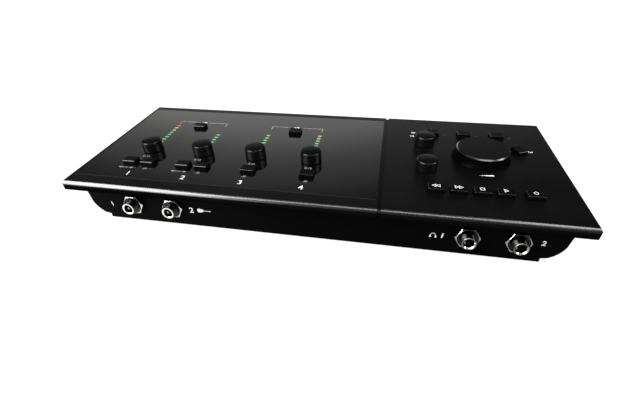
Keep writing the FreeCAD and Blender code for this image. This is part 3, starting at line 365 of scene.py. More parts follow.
satin = grained("satin_enamel", ("#060606", "#0b0b0c"), (0.27, 0.33), 0.9, 0.006, IOR=1.5)
dull_above(satin, buffed(satin, -2.1, -0.14, 0.3, 0.25, back=PANEL_Y + 0.8), 0.0, 0.06)
finishes["cover_black"] = satin
# Soft-feel paint over moulded ABS: dark flanks with a broad, dim shine. Each kind of knob has its two colours,
# the heights, roughness and weight of its rim, and the shine of its flank and of its top.
KNOB_RIMS = {"gain": (("#070708", "#0c0c0d"), 7.7, 8.4, 0.16, 0.3, 0.22, 0.024),
             "headphone": (("#070708", "#0c0c0d"), 7.1, 7.8, 0.16, 0.4, 0.15, 0.036),
             "volume": (("#030303", "#050505"), 7.25, 8.0, 0.22, 0.95, 0.01, 0.05)}
knob_finishes = {}
for kind, (colours, low, high, rough, weight, flank, top) in KNOB_RIMS.items():
    knob_finishes[kind] = grained(kind + "_soft_feel_abs", colours, (0.26, 0.34), 0.6, 0.004, IOR=1.5)
    over = buffed(knob_finishes[kind], low, high, 0.1, rough, weight)
    dull_above(knob_finishes[kind], over, flank, top)
buffed(finishes["button_black"], 2.4, 2.86, 0.1, 0.16, 0.9)
print("bands: cover, buttons and", len(knob_finishes), "kinds of knob")

# %% [markdown]
# ## Metals
#
# Plated and turned metal shows the tool that cut it: very fine lines that run round the piece, a mirror
# between them, and a few handling marks. Noise that is squeezed along one direction gives such lines.
# The metal keeps the default IOR and takes its colour from the plating.

# %% A function for worked metal
def worked_metal(name, colours, rough, stretch, line, bump):
    """A metal with lines of the given width in mm; stretch gives the noise scale along x, y and z."""
    material = bpy.data.materials.new(name)
    material.use_nodes = True
    tree = material.node_tree
    shader = tree.nodes["Principled BSDF"]
    place = add(tree, "ShaderNodeTexCoord").outputs["Object"]
    drawn = add(tree, "ShaderNodeMapping", {"Vector": place, "Scale": stretch})
    lines = add(tree, "ShaderNodeTexNoise", {"Vector": drawn.outputs[0], "Scale": 1 / (line * MM), "Detail": 2.0})
    cloud = add(tree, "ShaderNodeTexNoise", {"Vector": place, "Scale": 220.0, "Detail": 2.0})
    colour = add(tree, "ShaderNodeMix", {0: cloud.outputs["Fac"], 6: linear(colours[0]), 7: linear(colours[1])},
                 data_type="RGBA")
    dull = add(tree, "ShaderNodeMapRange", {"Value": lines.outputs["Fac"], "To Min": rough[0], "To Max": rough[1]})
    relief = add(tree, "ShaderNodeBump", {"Height": lines.outputs["Fac"], "Strength": 1.0, "Distance": bump * MM})
    for socket, source in (("Base Color", colour.outputs[2]), ("Roughness", dull.outputs[0]),
                           ("Normal", relief.outputs[0])):
        tree.links.new(source, shader.inputs[socket])
    shader.inputs["Metallic"].default_value = 1.0
    return material


# Black nickel over brass on the plug sockets and nuts: a smoky mirror with faint turning lines, so that only
# lamps show bright in it.
finishes["jack_chrome"] = worked_metal("black_nickel", ("#33312e", "#242320"), (0.08, 0.18), (1, 6, 1), 0.6, 0.002)
# Zinc-plated steel screws, blued a little by the passivation.
finishes["screw_steel"] = worked_metal("zinc_plated_steel", ("#aeb2b8", "#8f949b"), (0.25, 0.40), (1, 1, 3), 0.4, 0.003)
# Free-cutting brass, turned and left bare.
finishes["standoff_brass"] = worked_metal("turned_brass", ("#c9a45c", "#a8853f"), (0.22, 0.36), (1, 1, 8), 0.5, 0.003)
# Drawn steel of the control shafts.
finishes["shaft_steel"] = worked_metal("drawn_steel", ("#b9babb", "#9a9b9d"), (0.22, 0.34), (1, 1, 6), 0.4, 0.002)
print("metals:", [m.name for m in finishes.values()
                  if m.node_tree.nodes["Principled BSDF"].inputs["Metallic"].default_value == 1.0])

# %% [markdown]
# ## The acrylic plate
#
# Cast acrylic is a black mirror. Its colour lies behind a polished surface, so knobs and buttons show
# upside down in it, and it only looks real with a few hairlines and specks of dust that catch light.
# The specks are drawn larger than real dust, or a small render would lose them. Its sawn edges stay dull.

# %% Polished acrylic
acrylic = grained("polished_cast_acrylic", ("#050506", "#070708"), (0.035, 0.055), 4.0, 0.0, IOR=1.49)
tree = acrylic.node_tree
shader = tree.nodes["Principled BSDF"]
place = add(tree, "ShaderNodeTexCoord").outputs["Object"]
specks = add(tree, "ShaderNodeTexVoronoi", {"Vector": place, "Scale": 210.0}, feature="F1")
dust = add(tree, "ShaderNodeMapRange", {"Value": specks.outputs["Distance"], "From Min": 0.035, "From Max": 0.06,
                                        "To Min": 0.45, "To Max": 0.045})
facing = add(tree, "ShaderNodeSeparateXYZ", {0: add(tree, "ShaderNodeNewGeometry").outputs["True Normal"]})
sawn = add(tree, "ShaderNodeMath", {0: facing.outputs["Z"], 1: 0.9}, operation="LESS_THAN").outputs[0]
dull = add(tree, "ShaderNodeMix", {0: sawn, 2: dust.outputs[0], 3: 0.85}, data_type="FLOAT")
tree.links.new(dull.outputs[0], shader.inputs["Roughness"])
finishes["gloss_black_acrylic"] = acrylic
print("acrylic reflects", round(((1.49 - 1) / (1.49 + 1)) ** 2 * 100, 1), "% straight on")

# %% [markdown]
# ## Circuit boards
#
# A board is glass and epoxy under green solder mask. The copper underneath shows as paler, slightly raised
# runs that turn at right angles. Voronoi cells measured in city blocks make such a maze: the walls between
# cells become the runs. Real tracks are a fifth of a millimetre wide, and these are drawn wider to show.

# %% Solder mask over copper
board = grained("solder_mask", ("#0b3a22", "#0e4529"), (0.25, 0.38), 0.8, 0.003, IOR=1.52)
tree = board.node_tree
shader = tree.nodes["Principled BSDF"]
place = add(tree, "ShaderNodeTexCoord").outputs["Object"]
blocks = add(tree, "ShaderNodeTexVoronoi", {"Vector": place, "Scale": 260.0}, feature="F2", distance="MANHATTAN")
nearest = add(tree, "ShaderNodeTexVoronoi", {"Vector": place, "Scale": 260.0}, feature="F1", distance="MANHATTAN")
gap = add(tree, "ShaderNodeMath", {0: blocks.outputs["Distance"], 1: nearest.outputs["Distance"]},
          operation="SUBTRACT")
track = add(tree, "ShaderNodeMapRange", {"Value": gap.outputs[0], "From Min": 0.10, "From Max": 0.16,
                                         "To Min": 1.0, "To Max": 0.0})
green = shader.inputs["Base Color"].links[0].from_socket
copper = add(tree, "ShaderNodeMix", {0: track.outputs[0], 6: green, 7: linear("#2f7a49")}, data_type="RGBA")
tree.links.new(copper.outputs[2], shader.inputs["Base Color"])
finishes["circuit_board"] = board
print("copper runs", len(tree.nodes), "nodes in the board's finish")

# %% [markdown]
# ## Two finishes on one piece
#
# Some bought-in parts are one solid in the model but two materials on the bench: a capacitor has a bare
# aluminium top over a black sleeve, and a coaxial socket has plated barrels on a plastic block. The place
# of a point in the mesh tells which is which, so a limit along one axis chooses between two shaders.

# %% Bare metal beyond a limit
def part_metal(name, moulded, metal, dullness, axis, limit):
    """A moulded finish that turns to plain metal where a coordinate is over a limit in metres."""
    material = moulded.copy()
    material.name = name
    tree = material.node_tree
    shader = tree.nodes["Principled BSDF"]
    place = add(tree, "ShaderNodeSeparateXYZ", {0: add(tree, "ShaderNodeTexCoord").outputs["Object"]})
    over = add(tree, "ShaderNodeMath", {0: place.outputs[axis], 1: limit}, operation="GREATER_THAN").outputs[0]
    paint = shader.inputs["Base Color"].links[0].from_socket
    colour = add(tree, "ShaderNodeMix", {0: over, 6: paint, 7: linear(metal)}, data_type="RGBA")
    soft = shader.inputs["Roughness"].links[0].from_socket
    dull = add(tree, "ShaderNodeMix", {0: over, 2: soft, 3: dullness}, data_type="FLOAT")
    tree.links.new(colour.outputs[2], shader.inputs["Base Color"])
    tree.links.new(dull.outputs[0], shader.inputs["Roughness"])
    tree.links.new(over, shader.inputs["Metallic"])
    return material


can_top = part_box("filter_capacitors")[1].z - 0.7 * MM
sleeve = grained("shrunk_sleeve", ("#101319", "#171b23"), (0.22, 0.32), 0.8, 0.004, IOR=1.5)
finishes["capacitor_can"] = part_metal("sleeved_can", sleeve, "#c3c5c9", 0.32, "Z", can_top)
finishes["socket_brass"] = part_metal("gold_flashed_barrels", finishes["socket_plastic"], "#d3b25f", 0.22, "Y",
                                      (REAR_Y - 2.4) * MM)
# Tinned steel of the square socket's shell: dull silver with the rolled grain of the sheet.
finishes["socket_shell"] = worked_metal("tinned_steel", ("#bfc0c2", "#a5a7aa"), (0.28, 0.42), (1, 1, 1), 0.7, 0.006)
# Moulded epoxy of the chips: matt, with the fine pits of its mould.
finishes["chip_epoxy"] = grained("chip_epoxy", ("#141415", "#1e1e1f"), (0.50, 0.65), 0.4, 0.010, IOR=1.55)
print("part metal:", finishes["capacitor_can"].name, "and", finishes["socket_brass"].name)

# %% [markdown]
# ## Windows for the lights
#
# Each light is a diffusing window over a small lamp on the board. Lit windows glow in their own colour,
# dark ones are smoked plastic in which the colour is only a hint. The glow is kept at about the brightness
# of white paper, so that the colour doesn't burn out.

# %% Lit and dark windows
def window(name, colour, glow):
    """A diffusing window, glowing at the given strength."""
    material = grained(name, (colour, colour), (0.20, 0.30), 0.5, 0.004, IOR=1.58)
    shader = material.node_tree.nodes["Principled BSDF"]
    shader.inputs["Emission Color"].default_value = linear(colour)
    shader.inputs["Emission Strength"].default_value = glow
    return material


LIT = {"red": "#ac4239", "yellow": "#8c8e44", "green": "#519052", "status": "#7b98a6"}
DARK = {"red": "#2a1010", "yellow": "#24220f", "green": "#0f2415", "status": "#1c1f22"}
lit_windows = {key: window("lit_%s_window" % key, code, 0.7) for key, code in LIT.items()}
dark_windows = {key: window("dark_%s_window" % key, code, 0.0) for key, code in DARK.items()}
for key in LIT:
    finishes["light_" + key] = lit_windows[key]
print(len(lit_windows), "colours of light")

# %% [markdown]
# ## Dress the solids
#
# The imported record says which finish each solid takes, so one loop dresses them all. Pieces that need
# more than a finish are replaced or added to further on.

# %% Give every node its finish
for part in frame["record"]["subparts"]:
    solid = nodes[part["node"]]
    kind = part["node"].split("_")[0]
    knob = part["material_slot"] == "knob_black"
    solid.data.materials.clear()
    solid.data.materials.append(knob_finishes[kind] if knob else finishes[part["material_slot"]])

# %% [markdown]
# ## Threaded sleeves
#
# A plug socket is held by a nut on a fine thread, three eighths of an inch across with 32 turns to the inch.
# The thread is a ramp wound round the sleeve, so its radius depends on the height plus the share of a turn.
# A grid over height and angle, with the radius taken from that rule, winds it. The pitch is drawn a quarter
# coarser than the real one, so that it still shows in a small render. The ends of the two inputs take a pale
# metal colour as a painted highlight, and the two outputs have it fully only on the bevel in the mouth.

# %% Wind the threads of the front sockets
SLEEVE = {"bore": 3.25, "crest": 4.74, "root": 4.36, "foot": -2.5, "nut": 2.7, "tip": 8.0, "pitch": 1.0}
JACK_Z = 15.3
TURN = 72


def lofted(name, rings, painted_highlight_share):
    """A closed mesh through rings of (radius, angle, n) points. Some bands, counted from the end, carry a share of
    painted highlight.
    """
    work = bmesh.new()
    mark = work.faces.layers.float.new("painted_highlight_share")
    verts = [[work.verts.new((r * math.cos(a), r * math.sin(a), n)) for r, a, n in points] for points in rings]
    for band, (low, high) in enumerate(zip(verts, verts[1:] + verts[:1]), -len(rings)):
        for i in range(TURN):
            k = (i + 1) % TURN
            work.faces.new((low[i], low[k], high[k], high[i]))[mark] = painted_highlight_share.get(band, 0.0)
    bmesh.ops.recalc_face_normals(work, faces=work.faces)
    mesh = bpy.data.meshes.new(name)
    work.to_mesh(mesh)
    work.free()
    return mesh


def sleeve_radius(n, angle):
    """The outside radius at a height n in mm over the face, running out at the nut and at the tip."""
    ramp = (n / SLEEVE["pitch"] - angle / (2 * math.pi)) % 1.0
    tooth = max(0.0, 1.0 - 2.6 * abs(ramp - 0.5))
    run = min(1.0, max(0.0, (n - SLEEVE["nut"]) / 0.4), max(0.0, (SLEEVE["tip"] - 0.45 - n) / 0.4))
    lip = SLEEVE["crest"] - max(0.0, n - (SLEEVE["tip"] - 0.4)) * 0.8
    return min(lip, SLEEVE["crest"] - (SLEEVE["crest"] - SLEEVE["root"]) * (1 - tooth) * run)


def threaded_sleeve(bevel, painted_highlight_share):
    """One sleeve as a mesh in mm, drawn pointing along n, with a bevel of the given width in its mouth."""
    steps = int((SLEEVE["tip"] - SLEEVE["nut"]) / 0.125) + 1
    heights = [SLEEVE["foot"], SLEEVE["nut"] - 0.1] + [SLEEVE["nut"] + (SLEEVE["tip"] - SLEEVE["nut"]) * i / steps
                                                       for i in range(steps + 1)]
    angles = [2 * math.pi * i / TURN for i in range(TURN)]
    rings = [[(sleeve_radius(n, a), a, n) for a in angles] for n in heights]
    rings += [[(r, a, n) for a in angles] for r, n in ((SLEEVE["bore"] + bevel, SLEEVE["tip"]),
                                                      (SLEEVE["bore"], SLEEVE["tip"] - 1.1 * bevel),
                                                      (SLEEVE["bore"], SLEEVE["foot"]))]
    return lofted("sleeve", rings, painted_highlight_share)


def gathered(name, drawings, material):
    """Copies of meshes in mm from (mesh, place) pairs, as one piece that rides on the chassis."""
    work = bmesh.new()
    for mesh, place in drawings:
        copy = mesh.copy()
        copy.transform(place)
        work.from_mesh(copy)
        bpy.data.meshes.remove(copy)
    whole = bpy.data.meshes.new(name)
    work.to_mesh(whole)
    work.free()
    whole.materials.append(material)
    piece = bpy.data.objects.new(name, whole)
    bpy.context.scene.collection.objects.link(piece)
    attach(piece, "chassis")
    return piece


def painted_highlight_copy(name, finish, code):
    """A copy of a plated finish whose colour turns to a paler metal by the share marked on each face, a painted
    highlight.
    """
    material = finish.copy()
    material.name = name
    tree = material.node_tree
    shader = tree.nodes["Principled BSDF"]
    plated = shader.inputs["Base Color"].links[0].from_socket
    mark = add(tree, "ShaderNodeAttribute", attribute_type="GEOMETRY", attribute_name="painted_highlight_share").outputs["Fac"]
    colour = add(tree, "ShaderNodeMix", {0: mark, 6: plated, 7: linear(code)}, data_type="RGBA")
    tree.links.new(colour.outputs[2], shader.inputs["Base Color"])
    return material


FRONT_SOCKETS = (43.5, 75.6, 283.4, 314.2)
REAR_SOCKETS = [158.0 + 16.5 * i for i in range(6)]
# The pale metal on the marked bands of the sleeves is a painted highlight.
painted_highlight_faces = painted_highlight_copy("black_nickel_painted_bright_faces", finishes["jack_chrome"], "#dedad4")
inputs, outputs = threaded_sleeve(0.3, {-4: 1.0, -3: 1.0}), threaded_sleeve(0.6, {-5: 0.3, -4: 0.3, -3: 1.0})
sleeves = gathered("threaded_sleeves", [(mesh, on_front(u, JACK_Z)) for mesh, u in
                                        zip((inputs, inputs, outputs, outputs), FRONT_SOCKETS)], painted_highlight_faces)
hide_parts("front_jack_sleeves")
print("each sleeve has", round((SLEEVE["tip"] - SLEEVE["nut"]) / SLEEVE["pitch"], 1), "turns of thread")

# %% [markdown]
# ## Nuts
#
# A panel nut is bevelled at 30 degrees all round its outer face, which leaves a thin sloping line along each
# flat and a broad one at each corner. The bevels, and above all their outer edges, take a pale metal colour as a
# painted highlight, and they are what shows of a black nut. The side of a hexagon is a rule over the angle, so the nut
# is lofted like the sleeve.

# %% Loft the nuts and washers
NUT = {"across": 14.0, "seat": 0.5, "face": 2.5, "round": 6.7, "hole": 4.8, "washer": 6.9, "painted_bevel_highlight": 0.18}


def bevelled_nut():
    """A nut on its washer, as a mesh in mm with corners to both sides."""
    angles = [2 * math.pi * i / TURN for i in range(TURN)]
    side = [NUT["across"] / 2 / math.cos(a % (math.pi / 3) - math.pi / 6) for a in angles]
    shoulder = [NUT["face"] - (r - NUT["round"]) * math.tan(math.radians(30)) for r in side]
    rings = [[(NUT["washer"], a, n) for a in angles] for n in (0.0, NUT["seat"])]
    rings += [[(r, a, NUT["seat"]) for r, a in zip(side, angles)],
              [(r, a, n - 0.32 * NUT["painted_bevel_highlight"]) for r, a, n in zip(side, angles, shoulder)],
              [(r - NUT["painted_bevel_highlight"], a, n + 0.58 * NUT["painted_bevel_highlight"]) for r, a, n in zip(side, angles, shoulder)]]
    rings += [[(r, a, n) for a in angles] for r, n in ((NUT["round"], NUT["face"]), (NUT["hole"], NUT["face"]),
                                                      (NUT["hole"], 0.0))]
    # The bevel's thin outer band and the bevel itself take the pale colour of a painted highlight.
    return lofted("nut", rings, {-5: 1.0, -4: 0.6})


turned = [on_front(u, JACK_Z) @ Matrix.Rotation(math.radians(2.6), 4, "Z") for u in FRONT_SOCKETS]
turned += [on_rear(u, JACK_Z) @ Matrix.Rotation(math.radians(30), 4, "Z") for u in REAR_SOCKETS]
# The pale metal on the nuts' bevels is a painted highlight.
painted_bevel_highlight = painted_highlight_copy("black_nickel_painted_highlight_bevels", finishes["jack_chrome"], "#e6e2dc")
nut = bevelled_nut()
nuts = gathered("bevelled_nuts", [(nut, place) for place in turned], painted_bevel_highlight)
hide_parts("jack_nuts")
print(len(turned), "nuts")

# %% [markdown]
# ## Contact springs
#
# A plug is held and touched by bent leaves of tinned bronze inside the socket. Each leaf is a strip
# that dips into the bore in a soft V. The strip is swept along its side view, given a thickness, and set
# twice in each socket: one leaf low in the mouth, where it catches the light, and one deep inside at the top.

# %% Bend the leaves
contact_tin = worked_metal("tinned_bronze", ("#aea594", "#978e7f"), (0.14, 0.26), (1, 1, 5), 0.5, 0.002)
LEAF = [(0.0, 3.2), (1.2, 3.15), (1.6, 2.7), (1.75, 1.8), (2.4, 1.5), (3.6, 2.0), (5.6, 3.0), (8.0, 3.2)]


def leaf(width, start):
    """A bent strip in mm: its length runs into the face, and it dips towards the bore's middle."""
    work = bmesh.new()
    rows = [[work.verts.new((side * width / 2, y, start - run)) for side in (-1, 1)] for run, y in LEAF]
    for low, high in zip(rows, rows[1:]):
        work.faces.new((low[0], low[1], high[1], high[0]))
    mesh = bpy.data.meshes.new("leaf")
    work.to_mesh(mesh)
    work.free()
    holder = bpy.data.objects.new("leaf", mesh)
    bpy.context.scene.collection.objects.link(holder)
    smooth = holder.modifiers.new("soft", "SUBSURF")
    smooth.levels = smooth.render_levels = 2
    thick = holder.modifiers.new("thick", "SOLIDIFY")
    thick.thickness, thick.offset = 0.2, 0.0
    made = bpy.data.meshes.new_from_object(holder.evaluated_get(bpy.context.evaluated_depsgraph_get()))
    bpy.data.objects.remove(holder)
    return made


roll = [Matrix.Rotation(math.radians(a), 4, "Z") for a in (125, 0)]
for name, places in (("front_contacts", [on_front(u, JACK_Z) for u in FRONT_SOCKETS]),
                     ("rear_contacts", [on_rear(u, JACK_Z) for u in REAR_SOCKETS])):
    for k, (turn, start) in enumerate(zip(roll, (6.6, -7.0))):
        spring = leaf(1.8, start)
        gathered("%s_%d" % (name, k + 1), [(spring, place @ turn) for place in places], contact_tin)
print("two leaves in each of", len(FRONT_SOCKETS) + len(REAR_SOCKETS), "sockets")

# %% [markdown]
# ## Lights as Geometry Nodes
#
# Thirty-six windows differ only in place and in whether they are lit, which is what instancing is for. The
# points carry a `lit` attribute, each gets the same rounded slab, and the attribute then picks the
# material. The instances are realised and turned to a plain mesh, since a file for other programs has none.

# %% A tree for rows of windows
def modifier_input(modifier, name, value):
    """Sets a tree's named input on its modifier, by the socket's identifier."""
    for item in modifier.node_group.interface.items_tree:
        if item.item_type == "SOCKET" and item.in_out == "INPUT" and item.name == name:
            modifier[item.identifier] = value


def new_tree(name, sizes):
    """A Geometry Nodes tree with a geometry input, named sizes in metres, and a geometry output."""
    tree = bpy.data.node_groups.new(name, "GeometryNodeTree")
    tree.interface.new_socket("Geometry", in_out="INPUT", socket_type="NodeSocketGeometry")
    for size in sizes:
        tree.interface.new_socket(size, in_out="INPUT", socket_type="NodeSocketFloat")
    tree.interface.new_socket("Geometry", in_out="OUTPUT", socket_type="NodeSocketGeometry")
    return tree, tree.nodes.new("NodeGroupInput")


def grown(name, mesh, tree, sizes):
    """Runs a tree on a mesh and returns the result as a plain mesh object at the origin."""
    holder = bpy.data.objects.new(name + "_holder", mesh)
    bpy.context.scene.collection.objects.link(holder)
    modifier = holder.modifiers.new("grow", "NODES")
    modifier.node_group = tree
    for size, value in sizes.items():
        modifier_input(modifier, size, value)
    made = bpy.data.meshes.new_from_object(holder.evaluated_get(bpy.context.evaluated_depsgraph_get()))
    bpy.data.objects.remove(holder)
    piece = bpy.data.objects.new(name, made)
    bpy.context.scene.collection.objects.link(piece)
    return piece


def window_tree(lit, dark):
    """Rounded slabs on points; the points' `lit` attribute picks the material."""
    tree, given = new_tree("windows", ("Width", "Depth", "Thickness", "Corner"))
    sizes = given.outputs
    outline = add(tree, "GeometryNodeCurvePrimitiveQuadrilateral", {"Width": sizes["Width"],
                                                                    "Height": sizes["Depth"]})
    soft = add(tree, "GeometryNodeFilletCurve", {"Curve": outline.outputs[0], "Radius": sizes["Corner"],
                                                 "Count": 6}, mode="POLY")
    face = add(tree, "GeometryNodeFillCurve", {"Curve": soft.outputs[0]}, mode="NGONS")
    slab = add(tree, "GeometryNodeExtrudeMesh", {"Mesh": face.outputs[0], "Offset Scale": sizes["Thickness"],
                                                 "Individual": False})
    base = add(tree, "GeometryNodeFlipFaces", {"Mesh": face.outputs[0]})
    whole = add(tree, "GeometryNodeJoinGeometry", {"Geometry": slab.outputs["Mesh"]})
    tree.links.new(base.outputs[0], whole.inputs["Geometry"])
    placed = add(tree, "GeometryNodeInstanceOnPoints", {"Points": given.outputs["Geometry"],
                                                        "Instance": whole.outputs[0], "Rotation": (SLOPE, 0, 0)})
    real = add(tree, "GeometryNodeRealizeInstances", {"Geometry": placed.outputs[0]})
    unlit = add(tree, "GeometryNodeSetMaterial", {"Geometry": real.outputs[0], "Material": dark})
    mask = add(tree, "GeometryNodeInputNamedAttribute", {"Name": "lit"}, data_type="BOOLEAN")
    glowing = add(tree, "GeometryNodeSetMaterial", {"Geometry": unlit.outputs[0], "Selection": mask.outputs[0],
                                                    "Material": lit})
    add(tree, "NodeGroupOutput", {"Geometry": glowing.outputs[0]})
    return tree


def point_mesh(name, points, lit):
    """Bare vertices in metres, with a `lit` flag each."""
    mesh = bpy.data.meshes.new(name)
    mesh.from_pydata([tuple(p) for p in points], [], [])
    mesh.attributes.new("lit", "BOOLEAN", "POINT").data.foreach_set("value", lit)
    return mesh


print("a tree is run by grown(), which leaves a plain mesh")

# %% Set the meter windows
CHANNEL_PITCH = 43.2
CHANNELS = [43.0 + CHANNEL_PITCH * i for i in range(4)]
ROWS = {"red": range(0, 1), "yellow": range(1, 3), "green": range(3, 9)}
LIT_FROM = (0, 3, 2, 1)
for key, rows in ROWS.items():
    spots = [(u - 0.8, 95.4 - 4.37 * row, row >= first) for u, first in zip(CHANNELS, LIT_FROM) for row in rows]
    points = point_mesh(key + "_spots", [on_top(u, v, -3.6).translation for u, v, _ in spots], [s[2] for s in spots])
    windows = grown(key + "_meter_windows", points, window_tree(lit_windows[key], dark_windows[key]),
                    {"Width": 3.0 * MM, "Depth": 2.0 * MM, "Thickness": 3.62 * MM, "Corner": 0.35 * MM})
    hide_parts(key + "_meter_lights")
    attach(windows, "chassis")
    print(key, "windows:", len(spots), "with", sum(s[2] for s in spots), "lit")

# %% Set the power light and the dots
LOWER = 3.6
power = grown("power_window", point_mesh("power_spot", [on_top(247.7, 107.3, -LOWER).translation], [True]),
              window_tree(lit_windows["status"], dark_windows["status"]),
              {"Width": 3.3 * MM, "Depth": 2.4 * MM, "Thickness": (LOWER + 0.02) * MM, "Corner": 0.8 * MM})
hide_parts("status_lights")
spots = [((CHANNELS[i] + CHANNELS[i + 1]) / 2 - 0.8, 84.5) for i in (0, 2)]
spots += [(272.5 + 24.6 * i, 106.5) for i in range(3)]
dots = grown("dot_windows", point_mesh("dot_spots", [on_top(u, v, -LOWER).translation for u, v in spots], [False] * 5),
             window_tree(lit_windows["status"], dark_windows["status"]),
             {"Width": 1.8 * MM, "Depth": 1.8 * MM, "Thickness": (LOWER + 0.02) * MM, "Corner": 0.89 * MM})
for windows in (power, dots):
    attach(windows, "chassis")
print("one light on and", len(spots), "off")

# %% [markdown]
# ## Printed marks
#
# The marks are screen-printed ink: white for what has to be found at a glance, grey for the small captions
# and the brackets, and a dim grey beside the dark lights. Drawing them as thin solids keeps them sharp at any
# distance. Strokes, bars and discs are outlines in millimetres about their own middle, and each is stood on
# its face by a place. Plain numbers and simple signs say what the knobs and buttons do.

# %% Helpers for outlines
INK_LOW, INK_HIGH = -0.02, 0.03


def stroke(points, width):
    """The outline of a line through points, as wide as a pen, with mitred corners."""
    sides = ([], [])
    for i, (x, y) in enumerate(points):
        before = Vector(points[i]) - Vector(points[i - 1]) if i else Vector(points[1]) - Vector(points[0])
        after = Vector(points[i + 1]) - Vector(points[i]) if i + 1 < len(points) else before
        run = (before.normalized() + after.normalized()).normalized()
        half = width / 2 / max(0.4, run.dot(after.normalized()))
        for side, sign in zip(sides, (1, -1)):
            side.append((x - sign * run.y * half, y + sign * run.x * half))
    return sides[1] + sides[0][::-1]


def bar(x, y, width, height):
    """A rectangle about (x, y)."""
    return [(x - width / 2, y - height / 2), (x + width / 2, y - height / 2),
            (x + width / 2, y + height / 2), (x - width / 2, y + height / 2)]


def bow(x, y, radius, start, end, count=24):
    """Points along an arc, in degrees."""
    angles = [math.radians(start + (end - start) * i / count) for i in range(count + 1)]
    return [(x + radius * math.cos(a), y + radius * math.sin(a)) for a in angles]


def ring(x, y, radius, width, start=0.0, end=359.0):
    """The outline of a ring or of part of one."""
    return stroke(bow(x, y, radius, start, end), width)


def disc(x, y, radius):
    """A round dot."""
    return bow(x, y, radius, 0, 345, 23)


print("a pen stroke has", len(stroke([(0, 0), (1, 0), (1, 1)], 0.2)), "corners")

# %% Turn outlines and numerals into solids
ink = grained("screen_ink", ("#e9e9e6", "#f4f4f1"), (0.45, 0.55), 0.5, 0.002, IOR=1.5)
grey_ink = grained("grey_ink", ("#8d8d8a", "#9b9b98"), (0.45, 0.55), 0.5, 0.002, IOR=1.5)
dim_ink = grained("dim_ink", ("#4a4a4a", "#565656"), (0.45, 0.55), 0.5, 0.002, IOR=1.5)


def numerals(words, size, slant=0.0, weight=0.0, wide=1.0):
    """A mesh of characters about their own middle, in mm."""
    curve = bpy.data.curves.new("numerals", "FONT")
    curve.body, curve.size, curve.shear, curve.offset = words, size, slant, weight
    curve.align_x, curve.align_y = "CENTER", "CENTER"
    curve.extrude = (INK_HIGH - INK_LOW) / 2
    holder = bpy.data.objects.new("numerals", curve)
    mesh = bpy.data.meshes.new_from_object(holder)
    mesh.transform(Matrix.Translation((0, 0, (INK_HIGH + INK_LOW) / 2)) @ Matrix.Diagonal((wide, 1, 1, 1)))
    bpy.data.objects.remove(holder)
    return mesh


def printed(name, drawings, material, body="chassis"):
    """One piece of ink from (place, outlines or numerals) pairs."""
    sheet = bmesh.new()
    for place, shapes in drawings:
        for shape in shapes if isinstance(shapes, list) else [shapes]:
            if isinstance(shape, bpy.types.Mesh):
                shape.transform(place)
                sheet.from_mesh(shape)
                bpy.data.meshes.remove(shape)
                continue
            low, high = ([sheet.verts.new(place @ Vector((x, y, n))) for x, y in shape] for n in (INK_LOW, INK_HIGH))
            sheet.faces.new(high)
            sheet.faces.new(low[::-1])
            for i in range(len(shape)):
                k = (i + 1) % len(shape)
                sheet.faces.new((low[i], low[k], high[k], high[i]))
    bmesh.ops.recalc_face_normals(sheet, faces=sheet.faces)
    mesh = bpy.data.meshes.new(name)
    sheet.to_mesh(mesh)
    sheet.free()
    mesh.materials.append(material)
    piece = bpy.data.objects.new(name, mesh)
    bpy.context.scene.collection.objects.link(piece)
    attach(piece, body)
    return piece


print("ink is", round(INK_HIGH - INK_LOW, 3), "mm thick")

# %% Channel strips
NUMBER_ROW, BUTTON_ROW, KNOB_ROW, BRACKET_FOOT, BRACKET_ROW = 14.7, 22.5, 39.8, 98.8, 104.3
both_ways = [[(-6.0, 0.0), (-3.8, -1.0), (-3.8, 1.0)], bar(-1.0, 0.0, 5.6, 0.5), bar(3.6, 0.0, 1.6, 0.5),
             [(6.0, 0.0), (4.2, 1.0), (4.2, -1.0)]]
marks, small = [], []
for i, u in enumerate(CHANNELS):
    marks.append((on_top(CHANNEL_PITCH * (i + 1), NUMBER_ROW), numerals(str(i + 1), 6.6, -0.05, 0.0, 1.12)))
    small.append((on_top(u, KNOB_ROW), numerals("0-10", 2.9, 0.0, 0.03)))
small += [(on_top(u, BUTTON_ROW), numerals("-20", 2.7, 0.0, 0.03)) for u in (51.7, 94.1, 129.4, 173.8)]
small += [(on_top(u, BUTTON_ROW), both_ways) for u in (36.3, 79.1)]
for left, right_end, gap in ((41.3, 85.0, (59.0, 67.5)), (127.8, 172.1, (143.0, 155.0))):
    small.append((on_top(0, 0), [stroke([(end, BRACKET_FOOT), (end, BRACKET_ROW), (stop, BRACKET_ROW)], 0.6)
                                 for end, stop in ((left, gap[0]), (right_end, gap[1]))]))
    marks.append((on_top(sum(gap) / 2, BRACKET_ROW), numerals("+48", 3.0, 0.0, 0.04)))
printed("channel_marks", marks, ink)
printed("small_channel_marks", small, grey_ink)
print(len(marks) + len(small), "marks on the plate")

# %% Monitor section
power_sign = [ring(0, 0, 1.2, 0.4, 130, 410), bar(0, 1.0, 0.4, 1.5)]
marks = [(on_top(246.8, 101.1), power_sign),
         (on_top(295.8, 47.8), [[(-4.9, -0.8), (4.7, -0.9), (4.7, 0.8)]]),
         (on_top(262.7, 115.4), [disc(0, 0, 0.75)])]
marks.append((on_top(331.4, 85.2), [bar(1.15 * (i - 2), (i % 3) * 0.35 - 0.2, 0.6, 1.2 + (i % 3) * 0.7)
                                    for i in range(5)]))
printed("monitor_marks", marks, ink)
dots = [(on_top(262.7 + 24.6 * i, 115.4), [disc(1.6 * (k - i / 2), 0, 0.55) for k in range(i + 1)]) for i in (1, 2)]
printed("dim_monitor_marks", dots, dim_ink)
print(len(marks) + len(dots), "marks in the monitor section")

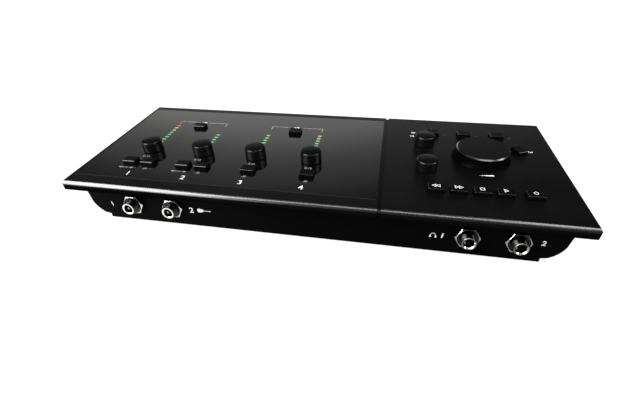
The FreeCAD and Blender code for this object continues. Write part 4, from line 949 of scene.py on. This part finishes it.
# %% Signs on the transport buttons
def arrows(x, way):
    """The outline of a triangle that points along way, 1 or -1."""
    corners = [(x - 1.1 * way, 0.0), (x - 1.1 * way, -1.35), (x + 1.2 * way, 0.0), (x - 1.1 * way, 1.35)]
    return stroke(corners + [(x - 1.1 * way, 0.02)], 0.40)


BUTTON_TOP = 3.0
signs = {"rewind": (260.7, [arrows(-1.3, -1), arrows(1.3, -1)]),
         "forward": (274.98, [arrows(-1.3, 1), arrows(1.3, 1)]),
         "stop": (289.26, [stroke([(-1.2, -1.2), (1.2, -1.2), (1.2, 1.2), (-1.2, 1.2), (-1.2, -1.25)], 0.38)]),
         "play": (303.54, [arrows(0.0, 1)]),
         "record": (320.8, [ring(0, 0, 1.25, 0.42)])}
for word, (u, sign) in signs.items():
    printed(word + "_sign", [(on_top(u, 25.8, BUTTON_TOP), sign)], ink, word + "_button_body")
print(len(signs), "signs ride on their buttons")

# %% Front face
guitar = [bow(-3.3, 0, 1.7, 60, 300), bow(-1.5, 0, 1.4, -130, 130), bar(1.8, 0.0, 6.0, 0.45),
          bar(4.7, 0.0, 1.4, 0.95)]
phones = [ring(0, 0, 1.7, 0.45, 0, 180), bar(-1.75, -0.8, 0.9, 1.7), bar(1.75, -0.8, 0.9, 1.7)]
marks = [(on_front(24.5, 13.4), numerals("1", 5.2, -0.25, 0.08)),
         (on_front(90.0, 14.3), numerals("2", 6.0, 0.0, 0.18, 1.1)),
         (on_front(99.7, 14.9), guitar), (on_front(262.1, 13.8), phones),
         (on_front(267.7, 14.1), numerals("1", 5.2, 0.15, 0.16, 1.15)),
         (on_front(328.9, 15.8), numerals("2", 5.0, 0.10, 0.12, 1.05))]
printed("front_marks", marks, ink)
print(len(marks), "marks on the front face")

# %% Rear face
marks = [(on_rear(42.0 + 29.5 * i, 5.4), numerals(str(i + 1), 3.4, 0.0, 0.02)) for i in range(4)]
marks += [(on_rear(158.0 + 16.5 * i, 26.0), numerals(str(i + 1), 3.4, 0.0, 0.02)) for i in range(6)]
marks += [(on_rear(u, 31.0), [arrows(0.0, way)]) for u, way in ((277.0, 1), (297.0, -1))]
marks.append((on_rear(330.0, 24.5), power_sign))
printed("rear_marks", marks, ink)
print(len(marks), "marks on the rear face")
